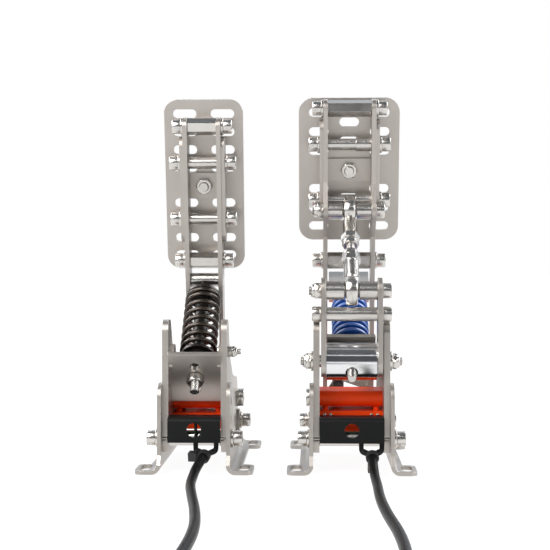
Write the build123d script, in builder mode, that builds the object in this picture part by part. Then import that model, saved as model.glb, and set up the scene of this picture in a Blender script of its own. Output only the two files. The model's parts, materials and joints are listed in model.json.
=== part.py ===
from build123d import *
import math
import os

os.makedirs("parts", exist_ok=True)

# A throttle pedal and a brake pedal, standing side by side. Lengths are in millimetres.
# Each pedal is drawn in its own frame: x from its middle, y from the rear tips of its feet, z up.

# Base, shared by both pedals
pedal_spacing = 101.5
base_length = 140
sheet = 2.5
bend_radius = 3.5
foot_reach = 14.5
foot_length = 28
foot_corner = 5
ledge_reach = 6.5
slot_width = 6.8
slot_length = 20
slot_margin = 2.7
tower_inset = 3
tower_top = 57.5
tower_width = 21
tower_foot = 46
tower_corner = 9
strip_top = 12
ear_radius = 8

# Side plates, shared by both pedals
side_thickness = 4
side_rear = 10
side_front = 125
side_bottom = 12
side_top = 98.5
side_corner = 8
side_outline_shares = (
    (0, 0), (0, 1), (0.13, 1), (0.27, 0.7), (0.52, 0.53), (0.94, 0.46), (1, 0.32), (0.98, 0),
)
side_corner_shares = (1, 1, 0.9, 2.5, 3, 1.2, 1, 1)

# Pivots and base bolts
pivot_y = 109
pivot_z = 38
pivot_radius = 4
pivot_head_radius = 6.5
pivot_head = 5.5
bush_radius = 6
ring_radius = 10.8
ring_width = 7
throttle_ring_set = 3
brake_ring_set = 7
rear_bolt_y = 13
rear_bolt_z = 22
front_bolt_y = 111
front_bolt_z = 21.5
tilt_hole_pitch = 12
tilt_hole_count = 3
spacer_radius = 5

# Fasteners
bolt_radius = 3
bolt_head_radius = 5
bolt_head = 6
washer_radius = 6
washer = 1.6
bolt_bite = 10
nut_flats = 10
nut_height = 5
lock_nut = 6.5
small_bolt_radius = 2

# Clearances
running = 0.05
fit = 0.2
seat_gap = 0.3
open_pivot = 0.4
overrun = 5

# Widths of each pedal, between and over its plates
throttle_gap = 34
brake_gap = 41.5
throttle_arm_gap = 20
brake_arm_gap = 30
arm_thickness = 3
rocker_gap = 33.4
rocker_thickness = 3

# Arms and what they carry; heights along the arm are measured from the pivot
arm_lean = 12.5
arm_width = 18
arm_corner = 6
throttle_arm_length = 201.8
brake_arm_length = 214
spacer_flats = 10
top_spacer_drop = 6
throttle_spacer_rise = 14.3
brake_spacer_rise = 19.2
ear_thickness = 2.5
ear_half_width = 7.5
web_standoff = 0.4
throttle_web_height = 18.4
brake_web_height = 16.4
throttle_ear_rise = 13.3
brake_ear_rise = 35.5
throttle_ear_drop = 12.8
brake_ear_drop = 13.2
throttle_web_share = 0.5182
throttle_bolt_shares = (0.2207, 0.7524)
brake_web_share = 0.4241
brake_bolt_shares = (0.1174, 0.7261)
tube_radius = 4
sleeve_radius = 4.8
sleeve_share = 0.36

# Pedal plates
plate_thickness = 3
plate_slot_width = 6.3
throttle_plate_width = 55
throttle_plate_height = 120
throttle_plate_corner = 9.5
throttle_slot_length = 16.5
throttle_slot_spread = 13.2
throttle_slot_pitch = 12.55
throttle_slot_rows = 4
brake_plate_width = 70
brake_plate_height = 100
brake_plate_corner = 10
brake_slot_length = 13.6
brake_slot_spread = 21.2
brake_slot_pitch = 13.33
brake_slot_rows = 3
screw_head_height = 2.6

# Load cells and electronics; each load cell has its own place and height
throttle_cell_rear = 37.5
throttle_cell_top = 48.5
brake_cell_rear = 30
brake_cell_top = 51
cell_depth = 28
cell_beam = 10.5
cell_gap = 2.5
cell_low_lead = 4
cell_low_depth = 36
cell_bottom = 25
cell_nose = 4.5
cell_post_radius = 2
cover_rear = 4.6
cover_low = 19.9
cover_high = 36
cover_depth = 17
cover_sheet = 1.2
cover_bend = 3
cover_hole_radius = 4.65
board_thickness = 1.2
board_standoff = 1
board_margin = 2
board_rear = 10
lead_radius = 1
lead_bend = 1.6
lead_spread = 6.6
lead_rise_y = 6.9
lead_rise_z = 16
lead_start = 2.5

# Throttle spring and its rod, hung from the arms at the trunnion
trunnion_height = 87.1
rod_hole_y = 20.4
rod_hole_z = 61.4
trunnion_radius = 5
spring_bracket_thickness = 3
spring_bracket_up = 21.1
spring_bracket_down = 22.6
bracket_hole_pitch = 10.6
bracket_tab_y = 28
bracket_tab_z = 77
tab_radius = 5
tab_root_y = 16
tab_root_z = 71
small_head = 1.5
small_head_radius = 3.8
small_nut = 4
small_nut_flats = 7
rod_tail = 7.2
spring_seat_boss = 8
seat_rise = 15.2
seat_radius = 11.5
seat_thickness = 2
seat_bore_share = 0.1
collar_height = 3
guide_radius = 5
guide_length = 30
throttle_spring_radius = 12.5
throttle_wire = 3
throttle_collar_back = 18.4
throttle_coils = 8
end_coil_gap = 0.8

# Brake rocker, barrel, spring and turnbuckle
rocker_y = 20
rocker_z = 71.5
rocker_radius = 9.5
rocker_back = 9
rocker_spacer_y = 10.5
rocker_spacer_z = 102.5
rocker_eye_y = 12
rocker_eye_z = 117.5
rocker_eye_radius = 8.5
rocker_spacer_radius = 4.5
barrel_radius = 12.25
barrel_clearance = 0.3
barrel_hole_radius = 4
barrel_journal = 7.5
stub_length = 8.3
seat_plate_width = 32
seat_plate_height = 21
seat_plate_thickness = 3
brake_rod_tail = 19.5
brake_block_height = 82.2
block_length = 18
block_depth = 14
block_play = 1
brake_spring_radius = 12.5
brake_wire_width = 4.6
brake_wire_height = 2.6
brake_collar_height = 5.2
brake_coils = 8
elastomer_radius = 11.5
elastomer_length = 9
link_y = 66
link_z = 171
lug_radius = 8.5
lug_reach = 16
link_tube_radius = 6
eye_radius = 10
eye_width = 7.5
ball_width = 9
ball_radius = 6.3
rod_end_length = 30
rod_end_radius = 5
collar_flats = 11
collar_length = 5
thread_depth = 13
jam_nut = 5
cross_plate_low = 4
cross_plate_height = 32
cross_plate_set = 5
cross_plate_thickness = 3
cross_plate_clearance = 0.6

# Cables. The route of each free stretch is chosen by hand, in its pedal's frame.
cable_radius = 3
coil_turns = 2
coil_outer_radius = 39.5
coil_pitch = 7.8
coil_layer = 6.9
coil_sides = 6
samples_per_half_turn = 16
plug_length = 20
plug_width = 10
plug_depth = 7
tie_thickness = 1.2
tie_width = 4
buckle = 5.5
tie_share = 0.5
boot_length = 9
coil_lead = 6
arc_share = 0.45
throttle_route = (
    (7.7, 3, 13.2),
    (6.2, -6, 11.2),
    (3.2, -16, 6.5),
    (2.6, -28, 3.8),
    (3.2, -52, 3.2),
    (7.6, -86, 3.1),
    (13.6, -128, 3.0),
    (18.0, -176, 3.1),
    (17.0, -228, 3.0),
    (13.0, -270, 3.0),
    (13.0, -298, 3.0),
)
brake_route = (
    (12.6, 3, 13.2),
    (12.8, -6, 11.2),
    (13.0, -17, 6.5),
    (13.2, -29, 3.8),
    (13.6, -54, 3.2),
    (13.0, -90, 3.1),
    (14.6, -134, 3.0),
    (18.4, -182, 3.0),
    (18.6, -234, 3.1),
    (13.0, -276, 3.0),
    (13.0, -304, 3.0),
)

# Places that follow from the sizes above
rear = -base_length / 2
throttle_half = throttle_gap / 2 + side_thickness + sheet + foot_reach
brake_half = brake_gap / 2 + side_thickness + sheet + foot_reach
throttle_x = throttle_half - (pedal_spacing + throttle_half + brake_half) / 2
brake_x = throttle_x + pedal_spacing
outer_bend = bend_radius + sheet
lean = math.radians(arm_lean)
arm_half = arm_width / 2
rod_hole = (rod_hole_y, rod_hole_z)
tab_root = (tab_root_y, tab_root_z)
rocker_axis = (rocker_y, rocker_z)
rocker_eye = (rocker_eye_y, rocker_eye_z)
rocker_spacer = (rocker_spacer_y, rocker_spacer_z)
link_eye = (link_y, link_z)


def on_arm(height, set_forward=0):
    # y and z of a point on the arm, at a height along it and a distance in front of its middle
    return (
        pivot_y - height * math.sin(lean) + set_forward * math.cos(lean),
        pivot_z + height * math.cos(lean) + set_forward * math.sin(lean),
    )


trunnion = on_arm(trunnion_height)
block = on_arm(brake_block_height)
rod_length = math.dist(rod_hole, trunnion)
brake_rod_length = math.dist(rocker_axis, block)
link_length = math.dist(link_eye, rocker_eye)
link_back = link_y - pivot_y
link_up = link_z - pivot_z
lug_forward = link_back * math.cos(lean) + link_up * math.sin(lean)
lug_height = link_up * math.cos(lean) - link_back * math.sin(lean)
brake_spring_foot = barrel_radius + running + seat_plate_thickness + seat_gap
brake_collar_end = brake_rod_length - block_length / 2 - elastomer_length
brake_spring_end = brake_collar_end - brake_collar_height - seat_gap
brake_spring_length = brake_spring_end - brake_spring_foot
throttle_spring_foot = spring_bracket_thickness / 2 + seat_rise + seat_thickness + seat_gap
throttle_collar = rod_length - throttle_collar_back
throttle_spring_length = throttle_collar - seat_gap - throttle_spring_foot


def across(centre, point=(0, 0), x=0):
    # A plane square to x, drawn in y and z from the given point of a pedal
    return Plane(origin=(centre + x, rear + point[0], point[1]), x_dir=(0, 1, 0), z_dir=(1, 0, 0))


def arm_plane(centre, x=0):
    # The same, turned with the arms: forward of the arm, then up along it
    forward = (0, math.cos(lean), math.sin(lean))
    return Plane(origin=(centre + x, rear + pivot_y, pivot_z), x_dir=forward, z_dir=(1, 0, 0))


def rod_plane(centre, start, end):
    # A plane square to the line from one point of a pedal to another, at the first point
    aim = (0, end[0] - start[0], end[1] - start[1])
    return Plane(origin=(centre, rear + start[0], start[1]), x_dir=(1, 0, 0), z_dir=aim)


def keep(name, piece):
    piece.part.label = name
    export_step(piece.part, f"parts/{name}.step")


def turn(plane, steps, mode=Mode.ADD):
    # Round steps along the plane's normal: from, to, radius
    for start, end, radius in steps:
        with BuildSketch(plane.offset(start)) as disc:
            Circle(radius)
        extrude(disc.sketch, amount=end - start, mode=mode)


def hexagon(plane, start, end, flats, rotation=0):
    with BuildSketch(plane.offset(start)) as six:
        RegularPolygon(flats / 2, 6, major_radius=False, rotation=rotation)
    extrude(six.sketch, amount=end - start)


def block_between(plane, start, end, width, height, centre=(0, 0)):
    with BuildSketch(plane.offset(start)) as face:
        with Locations(centre):
            Rectangle(width, height)
    extrude(face.sketch, amount=end - start)


def span(side, near, far):
    # From and to along x, mirrored for the left side
    return (near, far) if side > 0 else (-far, -near)


def cap_screw(plane, side, face, bite):
    turn(plane, (
        (*span(side, face - bite, face + washer), bolt_radius),
        (*span(side, face, face + washer), washer_radius),
        (*span(side, face + washer, face + washer + bolt_head), bolt_head_radius),
    ))


def closed_outline(corners):
    # Corners are y, z and the radius that rounds them
    with BuildLine() as edge:
        points = [(y, z) for y, z, _ in corners]
        FilletPolyline(points, radius=[radius for _, _, radius in corners], close=True)
    make_face(edge.edges())


def plate(plane, thickness, corners, holes):
    with BuildPart() as piece:
        with BuildSketch(plane):
            closed_outline(corners)
            for y, z, radius in holes:
                with Locations((y, z)):
                    Circle(radius, mode=Mode.SUBTRACT)
        extrude(amount=thickness)
    return piece


# Base brackets: bent sheet, a tower at the rear, a strip, an ear at the front and two slotted feet
def base_bracket(centre, side, gap):
    inner = gap / 2 + side_thickness
    outer = inner + sheet
    foot_edge = outer + foot_reach
    tower_end = tower_inset + tower_width
    ear_rear = front_bolt_y - ear_radius
    ear_front = front_bolt_y + ear_radius
    ear_top = front_bolt_z + ear_radius
    ear_corner = ear_radius - running
    upright = Plane(origin=(centre, rear, 0), x_dir=(side, 0, 0), z_dir=(0, -side, 0))
    flat = Plane(origin=(centre, rear, 0), x_dir=(side, 0, 0), z_dir=(0, 0, side))
    with BuildPart() as piece:
        with BuildSketch(upright):
            closed_outline((
                (inner, 0, outer_bend),
                (foot_edge, 0, 0),
                (foot_edge, sheet, 0),
                (outer, sheet, bend_radius),
                (outer, tower_top, 0),
                (inner, tower_top, 0),
            ))
        extrude(amount=-side * base_length)
        with BuildSketch(across(centre, x=-foot_edge)):
            closed_outline((
                (0, 0, 0),
                (0, outer_bend, 0),
                (tower_inset, strip_top, 0),
                (tower_inset, tower_top, tower_corner),
                (tower_end, tower_top, tower_corner),
                (tower_foot, strip_top, sheet),
                (ear_rear, strip_top, sheet),
                (ear_rear, ear_top, ear_corner),
                (ear_front, ear_top, ear_corner),
                (ear_front, strip_top, sheet),
                (base_length, outer_bend, 0),
                (base_length, 0, 0),
            ))
        extrude(amount=foot_edge + foot_edge, mode=Mode.INTERSECT)
        with BuildSketch(flat) as plan:
            with Locations(((inner + outer + ledge_reach) / 2, base_length / 2)):
                Rectangle(outer + ledge_reach - inner, base_length)
            for end in (foot_length / 2, base_length - foot_length / 2):
                with Locations(((inner + foot_edge) / 2, end)):
                    Rectangle(foot_edge - inner, foot_length)
            fillet(plan.vertices().group_by(Axis.X)[-1], foot_corner)
        extrude(amount=side * (tower_top + overrun), mode=Mode.INTERSECT)
        with BuildSketch(flat):
            for end in (foot_length / 2, base_length - foot_length / 2):
                with Locations((foot_edge - slot_margin - slot_width / 2, end)):
                    SlotOverall(slot_length, slot_width, rotation=90)
        extrude(amount=side * (sheet + overrun), mode=Mode.SUBTRACT)
        with BuildSketch(across(centre, x=-foot_edge)):
            for step in range(tilt_hole_count):
                with Locations((rear_bolt_y, rear_bolt_z + step * tilt_hole_pitch)):
                    Circle(bolt_radius + fit)
            with Locations((front_bolt_y, front_bolt_z)):
                Circle(bolt_radius + fit)
        extrude(amount=foot_edge + foot_edge, mode=Mode.SUBTRACT)
    return piece


# Side plates: one outline for both pedals, rounded all round
def side_plate(centre, x, extra_holes):
    length = side_front - side_rear
    height = side_top - side_bottom
    corners = [
        (side_rear + along * length, side_bottom + up * height, side_corner * rounding)
        for (along, up), rounding in zip(side_outline_shares, side_corner_shares)
    ]
    holes = [
        (rear_bolt_y, rear_bolt_z, bolt_radius + fit),
        (front_bolt_y, front_bolt_z, bolt_radius + fit),
        (pivot_y, pivot_z, pivot_radius + running),
        *extra_holes,
    ]
    return plate(across(centre, x=x), side_thickness, corners, holes)


def bracket_screw():
    # The small screw that holds the spring bracket to the right side plate
    axis = across(throttle_x, (bracket_tab_y, bracket_tab_z))
    inner = throttle_gap / 2 - sheet
    outer = throttle_gap / 2 + side_thickness
    turn(axis, (
        (inner - small_head, inner, small_head_radius),
        (inner, outer + washer + lock_nut, small_bolt_radius),
        (outer, outer + washer, small_head_radius),
    ))
    hexagon(axis, outer + washer, outer + washer + small_nut, small_nut_flats)


# Base bolts with the tubes that hold the side plates apart
def frame_fasteners(centre, gap, with_bracket_screw):
    face = gap / 2 + side_thickness + sheet
    bite = side_thickness + sheet + bolt_bite
    with BuildPart() as piece:
        for point in ((rear_bolt_y, rear_bolt_z), (front_bolt_y, front_bolt_z)):
            axis = across(centre, point)
            turn(axis, ((-gap / 2, gap / 2, spacer_radius),))
            turn(axis, ((-gap / 2, gap / 2, bolt_radius + fit),), Mode.SUBTRACT)
        for point in ((rear_bolt_y, rear_bolt_z), (front_bolt_y, front_bolt_z)):
            for side in (-1, 1):
                cap_screw(across(centre, point), side, face, bite)
        if with_bracket_screw:
            bracket_screw()
    return piece


def pivot_axle(centre, gap):
    face = gap / 2 + side_thickness
    with BuildPart() as piece:
        turn(across(centre, (pivot_y, pivot_z)), (
            (-face, face, pivot_radius),
            (-face - pivot_head, -face, pivot_head_radius),
            (face, face + pivot_head, pivot_head_radius),
        ))
    return piece


# Pivot tube: it turns on the axle and the arms are held on it
def pivot_bush(centre, gap):
    half = gap / 2 - seat_gap
    axis = across(centre, (pivot_y, pivot_z))
    with BuildPart() as piece:
        turn(axis, ((-half, half, bush_radius),))
        turn(axis, ((-half, half, pivot_radius + running),), Mode.SUBTRACT)
    return piece


def pivot_ring(centre, x):
    axis = across(centre, (pivot_y, pivot_z), x)
    with BuildPart() as piece:
        turn(axis, ((-ring_width / 2, ring_width / 2, ring_radius),))
        turn(axis, ((-ring_width / 2, ring_width / 2, bush_radius + running),), Mode.SUBTRACT)
    return piece


# Load cell: a round-nosed beam on four posts over a shorter, deeper one
def load_cell(centre, gap, beam_rear, beam_top):
    post_inset = cell_post_radius + cell_post_radius
    beam_front = beam_rear + cell_depth
    beam_bottom = beam_top - cell_beam
    strip_rear = beam_rear - cell_low_lead
    strip_front = strip_rear + cell_low_depth
    strip_top = beam_bottom - cell_gap
    with BuildPart() as piece:
        with BuildSketch(across(centre, x=-gap / 2)):
            closed_outline((
                (beam_rear, beam_bottom, cell_nose),
                (beam_rear, beam_top, cell_nose),
                (beam_front, beam_top, 0),
                (beam_front, beam_bottom, 0),
            ))
            closed_outline((
                (strip_rear, cell_bottom, 0),
                (strip_rear, strip_top, 0),
                (strip_front, strip_top, 0),
                (strip_front, cell_bottom, 0),
            ))
        extrude(amount=gap)
        with BuildSketch(Plane.XY.offset(strip_top)):
            for x in (-gap / 2 + post_inset, gap / 2 - post_inset):
                for y in (beam_rear + post_inset, beam_front - post_inset):
                    with Locations((centre + x, rear + y)):
                        Circle(cell_post_radius)
        extrude(amount=cell_gap)
    return piece


# Electronics cover: bent sheet, open below, with a round hole in its rear wall
def electronics_cover(centre, gap):
    mid = (cover_low + cover_high) / 2
    with BuildPart() as piece:
        with BuildSketch(across(centre, x=-gap / 2)):
            closed_outline((
                (cover_rear, cover_low, 0),
                (cover_rear, cover_high, cover_bend),
                (cover_rear + cover_depth, cover_high, 0),
                (cover_rear + cover_depth, cover_high - cover_sheet, 0),
                (cover_rear + cover_sheet, cover_high - cover_sheet, cover_bend - cover_sheet),
                (cover_rear + cover_sheet, cover_low, 0),
            ))
        extrude(amount=gap)
        hole = Plane(origin=(centre, rear + cover_rear, mid), x_dir=(1, 0, 0), z_dir=(0, 1, 0))
        turn(hole, ((0, cover_sheet, cover_hole_radius),), Mode.SUBTRACT)
    return piece


# Circuit board under the cover's top, with the two leads that run down to the end of the cable
def circuit_board(centre, gap, route):
    inner_top = cover_high - cover_sheet
    board_top = inner_top - board_standoff
    lead_end = board_top - board_thickness / 2
    half = gap / 2 - board_margin
    board_front = cover_rear + cover_depth - board_margin
    board_middle = rear + (board_rear + board_front) / 2
    x, y, z = route[0]
    aim = (Vector(*route[0]) - Vector(*route[1])).normalized()
    with BuildPart() as piece:
        with BuildSketch(Plane.XY.offset(board_top - board_thickness)):
            with Locations((centre, board_middle)):
                Rectangle(half + half, board_front - board_rear)
        extrude(amount=board_thickness)
        with BuildSketch(Plane.XY.offset(board_top)):
            for side in (-1, 1):
                with Locations((centre + side * (half - board_margin), board_middle)):
                    Circle(lead_radius)
        extrude(amount=board_standoff)
        for side in (-1, 1):
            far = centre + x + side * lead_spread
            beside = aim.cross(Vector(0, 0, 1)).normalized()
            foot = Vector(centre + x, rear + y, z) + beside * side * (lead_radius + running)
            with BuildLine() as wire:
                FilletPolyline(
                    foot,
                    foot + aim * lead_start,
                    (far, rear + lead_rise_y, lead_rise_z),
                    (far, rear + lead_rise_y, lead_end),
                    (far, rear + board_rear, lead_end),
                    radius=lead_bend,
                )
            with BuildSketch(Plane(origin=foot, z_dir=aim)):
                Circle(lead_radius)
            sweep(path=wire.line)
    return piece


# Arms: flat bars that lean to the rear; the brake's have a lug for the turnbuckle
def arm(centre, x, length, axle_height, bolts, lug=None):
    plane = arm_plane(centre, x)
    round_end = arm_half - running
    with BuildPart() as piece:
        with BuildSketch(plane):
            closed_outline((
                (-arm_half, -arm_half, round_end),
                (arm_half, -arm_half, round_end),
                (arm_half, length, arm_corner),
                (-arm_half, length, arm_corner),
            ))
        extrude(amount=arm_thickness)
        if lug:
            forward, height = lug
            with BuildSketch(plane):
                with Locations((forward, height)):
                    Circle(lug_radius)
                with Locations((0, height - lug_reach), (0, height + lug_reach)):
                    Circle(arm_half - running)
                make_hull()
            extrude(amount=arm_thickness)
            with BuildSketch(plane):
                with Locations((forward, height)):
                    Circle(bolt_radius + fit)
            extrude(amount=arm_thickness, mode=Mode.SUBTRACT)
        with BuildSketch(plane):
            with Locations((0, 0)):
                Circle(bush_radius + running)
            with Locations((0, axle_height)):
                Circle(pivot_radius + running)
            for height in bolts:
                with Locations((0, height)):
                    Circle(bolt_radius + fit)
        extrude(amount=arm_thickness, mode=Mode.SUBTRACT)
    return piece


# Hexagonal bars between the arms, each with a cap screw at both ends
def arm_spacers(centre, gap, heights, plate_between):
    half = gap / 2
    with BuildPart() as piece:
        for height in heights:
            bar = across(centre, on_arm(height))
            hexagon(bar, -half, half, spacer_flats, 90 - arm_lean)
            turn(bar, ((-half, -half + bolt_bite, bolt_radius + fit),), Mode.SUBTRACT)
            turn(bar, ((half - bolt_bite, half, bolt_radius + fit),), Mode.SUBTRACT)
        for height in heights:
            for side in (-1, 1):
                cap_screw(across(centre, on_arm(height)), side, half + arm_thickness, bolt_bite)
        if plate_between:
            forward = cross_plate_set + cross_plate_thickness / 2
            with BuildSketch(arm_plane(centre, -half)):
                with Locations((forward, cross_plate_low + cross_plate_height / 2)):
                    Rectangle(cross_plate_thickness, cross_plate_height)
            extrude(amount=gap)
            notch = ring_width / 2 + cross_plate_clearance
            turn(across(centre, (pivot_y, pivot_z), -brake_ring_set), (
                (-notch, notch, ring_radius + cross_plate_clearance),
            ), Mode.SUBTRACT)
    return piece


# U-shaped bracket: ears outside the arms, joined by a web in front of them
def plate_bracket(centre, gap, web_centre, web_height, ear_low, ear_high, bolts):
    outer = gap / 2 + arm_thickness
    web_back = arm_half + web_standoff
    web_front = web_back + ear_thickness
    with BuildPart() as piece:
        for side in (-1, 1):
            start = span(side, outer, outer + ear_thickness)[0]
            with BuildSketch(arm_plane(centre, start)):
                with Locations((0, ear_low + ear_half_width), (0, ear_high - ear_half_width)):
                    Circle(ear_half_width)
                make_hull()
                with Locations((web_front / 2, web_centre)):
                    Rectangle(web_front, web_height)
                for height in bolts:
                    with Locations((0, height)):
                        Circle(bolt_radius + fit, mode=Mode.SUBTRACT)
            extrude(amount=ear_thickness)
        with BuildSketch(arm_plane(centre, -outer)):
            with Locations((web_back + ear_thickness / 2, web_centre)):
                Rectangle(ear_thickness, web_height)
        extrude(amount=outer + outer)
        turn(web_axis(centre, web_centre), ((-ear_thickness, 0, bolt_radius + fit),), Mode.SUBTRACT)
    return piece


def web_axis(centre, web_centre):
    # The middle of a pedal plate's rear face, looking forward
    y, z = on_arm(web_centre, arm_half + web_standoff + ear_thickness)
    aim = (0, math.cos(lean), math.sin(lean))
    return Plane(origin=(centre, rear + y, z), x_dir=(-1, 0, 0), z_dir=aim)


# Bolts through the ears and the arms, their tubes, and the screw and nut of the pedal plate
def plate_fasteners(centre, gap, bolts, web_centre, sleeve):
    half = gap / 2
    face = half + arm_thickness + ear_thickness
    step = half - gap * sleeve_share
    with BuildPart() as piece:
        for height in bolts:
            axis = across(centre, on_arm(height))
            turn(axis, ((-half, half, tube_radius),))
            if sleeve:
                turn(axis, ((step, half, sleeve_radius),))
            turn(axis, ((-half, half, bolt_radius + fit),), Mode.SUBTRACT)
        for height in bolts:
            axis = across(centre, on_arm(height))
            turn(axis, ((-face, face, bolt_radius),))
            for side in (-1, 1):
                cap_screw(axis, side, face, bolt_bite)
        axis = web_axis(centre, web_centre)
        tail = ear_thickness + nut_height + bolt_radius
        turn(axis, (
            (-tail, plate_thickness, bolt_radius),
            (plate_thickness, plate_thickness + screw_head_height, bolt_head_radius),
        ))
        hexagon(axis, -ear_thickness - nut_height, -ear_thickness, nut_flats)
    return piece


# Pedal plates: rounded, with rows of slots that skip the middle where the screw sits
def pedal_plate(centre, web_centre, size, slots, middle_column):
    width, height, corner = size
    slot_run, spread, pitch, rows = slots
    with BuildPart() as piece:
        with BuildSketch(web_axis(centre, web_centre)):
            RectangleRounded(width, height, corner)
            for row in range(1, rows + 1):
                for side in (-1, 1):
                    with Locations((spread, side * row * pitch), (-spread, side * row * pitch)):
                        SlotOverall(slot_run, plate_slot_width, mode=Mode.SUBTRACT)
                    if middle_column and row < rows:
                        with Locations((0, side * (row * pitch + pitch / 2))):
                            SlotOverall(slot_run, plate_slot_width, mode=Mode.SUBTRACT)
            Circle(bolt_radius + fit, mode=Mode.SUBTRACT)
        extrude(amount=plate_thickness)
    return piece


# Wound forms follow smooth pairs of arcs, one pair for each half turn
def arc_pair(start, start_aim, end, end_aim):
    chord = end - start
    both = start_aim + end_aim
    spare = 2 * (1 - start_aim.dot(end_aim))
    along = chord.dot(both)
    reach = (math.sqrt(along ** 2 + spare * chord.dot(chord)) - along) / spare
    middle = (start + start_aim * reach + end - end_aim * reach) / 2
    first = TangentArc(start, middle, tangent=start_aim)
    TangentArc(middle, end, tangent=first % 1)


def helix_point(plane, radius, rise, angle):
    local = Vector(radius * math.cos(angle), radius * math.sin(angle), rise)
    return plane.from_local_coords(local)


def least_gap(points, apart, thickness):
    # Least distance between stretches of a winding that lie more than the given count apart
    return min(
        (points[i] - points[j]).length
        for i in range(len(points))
        for j in range(i + apart, len(points))
    ) - thickness


def spring_rises(coils, length, wire):
    # Heights of the wire's middle at each half turn: closed coils at both ends, open ones between
    halves = 2 * coils
    closed = (wire + end_coil_gap) / 2
    steps = [1] * halves
    for end in (0, 1, halves - 2, halves - 1):
        steps[end] = 0
    open_step = (length - wire - closed * steps.count(0)) / steps.count(1)
    rises = [wire / 2]
    for step in steps:
        rises.append(rises[-1] + (open_step if step else closed))
    return rises


def winding(name, plane, radii, rises, wire, flat=False, lead=0):
    # One unbroken wire through the given radius and rise at each half turn
    count = len(rises)
    points = [helix_point(plane, radii[i], rises[i], math.pi * i) for i in range(count)]
    aims = []
    for i in range(count):
        before = max(i - 1, 0)
        after = min(i + 1, count - 1)
        climb = 0 if lead else (rises[after] - rises[before]) / (after - before)
        side = Vector(-math.sin(math.pi * i), math.cos(math.pi * i), climb / (math.pi * radii[i]))
        aims.append((plane.from_local_coords(side) - plane.origin).normalized())
    start = points[0] - aims[0] * lead
    with BuildPart() as piece:
        with BuildLine() as path:
            if lead:
                Line(start, points[0])
            for i in range(count - 1):
                arc_pair(points[i], aims[i], points[i + 1], aims[i + 1])
            if lead:
                Line(points[-1], points[-1] + aims[-1] * lead)
        with BuildSketch(Plane(origin=start, x_dir=plane.z_dir.cross(aims[0]), z_dir=aims[0])):
            if flat:
                Rectangle(*wire)
            else:
                RegularPolygon(wire[0] / 2, coil_sides, rotation=90)
        if flat:
            axis = Edge.make_line(plane.origin, plane.origin + plane.z_dir * rises[-1])
            sweep(path=path.line, binormal=axis, clean=False)
        else:
            sweep(path=path.line, clean=False)
    whole = path.wire()
    samples = count * samples_per_half_turn
    fine = [whole.position_at(step / samples) for step in range(samples + 1)]
    gap = least_gap(fine, samples_per_half_turn, wire[1])
    print(name, "length", round(whole.length, 1), "least gap", round(gap, 2))
    return piece, points, aims


# Coils of put-away cable: in towards the middle, up one layer, and out again
def cable_coil(name, centre, route):
    x, y, _ = route[-1]
    inward = [coil_outer_radius - coil_pitch * i / 2 for i in range(coil_turns + coil_turns + 1)]
    outward = inward[::-1]
    down = [0] * len(inward) + [-coil_layer] * len(outward)
    middle = Vector(centre + x - coil_outer_radius, rear + y - coil_lead, cable_radius)
    plane = Plane(origin=middle, x_dir=(1, 0, 0), z_dir=(0, 0, -1))
    across_wire = 2 * cable_radius
    return winding(name, plane, inward + outward, down, (across_wire, across_wire), lead=coil_lead)


# The free stretch of a cable: straight runs joined by arcs as large as the runs allow
def free_cable(name, centre, route):
    points = [Vector(centre + x, rear + y, z) for x, y, z in route]
    radii = []
    for before, here, after in zip(points, points[1:], points[2:]):
        shorter = min((here - before).length, (after - here).length)
        half_turn = math.radians((here - before).get_angle(after - here)) / 2
        radii.append(arc_share * shorter / math.tan(half_turn))
    with BuildPart() as piece:
        with BuildLine() as path:
            FilletPolyline(points, radius=radii)
        with BuildSketch(Plane(origin=points[0], z_dir=points[1] - points[0])):
            Circle(cable_radius)
        sweep(path=path.line)
    length = path.wire().length
    expected = math.pi * cable_radius ** 2 * length
    print(name, "length", round(length, 1), "radii", [round(radius, 1) for radius in radii])
    print(name, "volume over section times length", round(piece.part.volume / expected, 4))
    return piece


# Modular plug on the end of the coil, with its boot
def cable_plug(point, aim):
    plane = Plane(origin=point, x_dir=Vector(0, 0, 1).cross(aim), z_dir=aim)
    with BuildPart() as piece:
        with BuildSketch(plane):
            Circle(cable_radius + tie_thickness)
        extrude(amount=boot_length)
        block_between(plane, boot_length, boot_length + plug_length, plug_width, plug_depth)
    return piece


# Cable tie: a band round the jacket with its square lock beside it
def cable_tie(centre, route, lock_below):
    start = Vector(centre + route[0][0], rear + route[0][1], route[0][2])
    end = Vector(centre + route[1][0], rear + route[1][1], route[1][2])
    aim = (end - start).normalized()
    middle = start + (end - start) * tie_share
    beside = aim.cross(Vector(0, 0, 1))
    plane = Plane(origin=middle, x_dir=aim.cross(beside) if lock_below else beside, z_dir=aim)
    band = cable_radius + tie_thickness
    lock_centre = band + buckle / 2 - running
    with BuildPart() as piece:
        turn(plane, ((-tie_width / 2, tie_width / 2, band),))
        block_between(plane, -buckle / 2, buckle / 2, buckle, buckle, (lock_centre, 0))
        turn(plane, ((-buckle, buckle, cable_radius + running),), Mode.SUBTRACT)
    return piece


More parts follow.
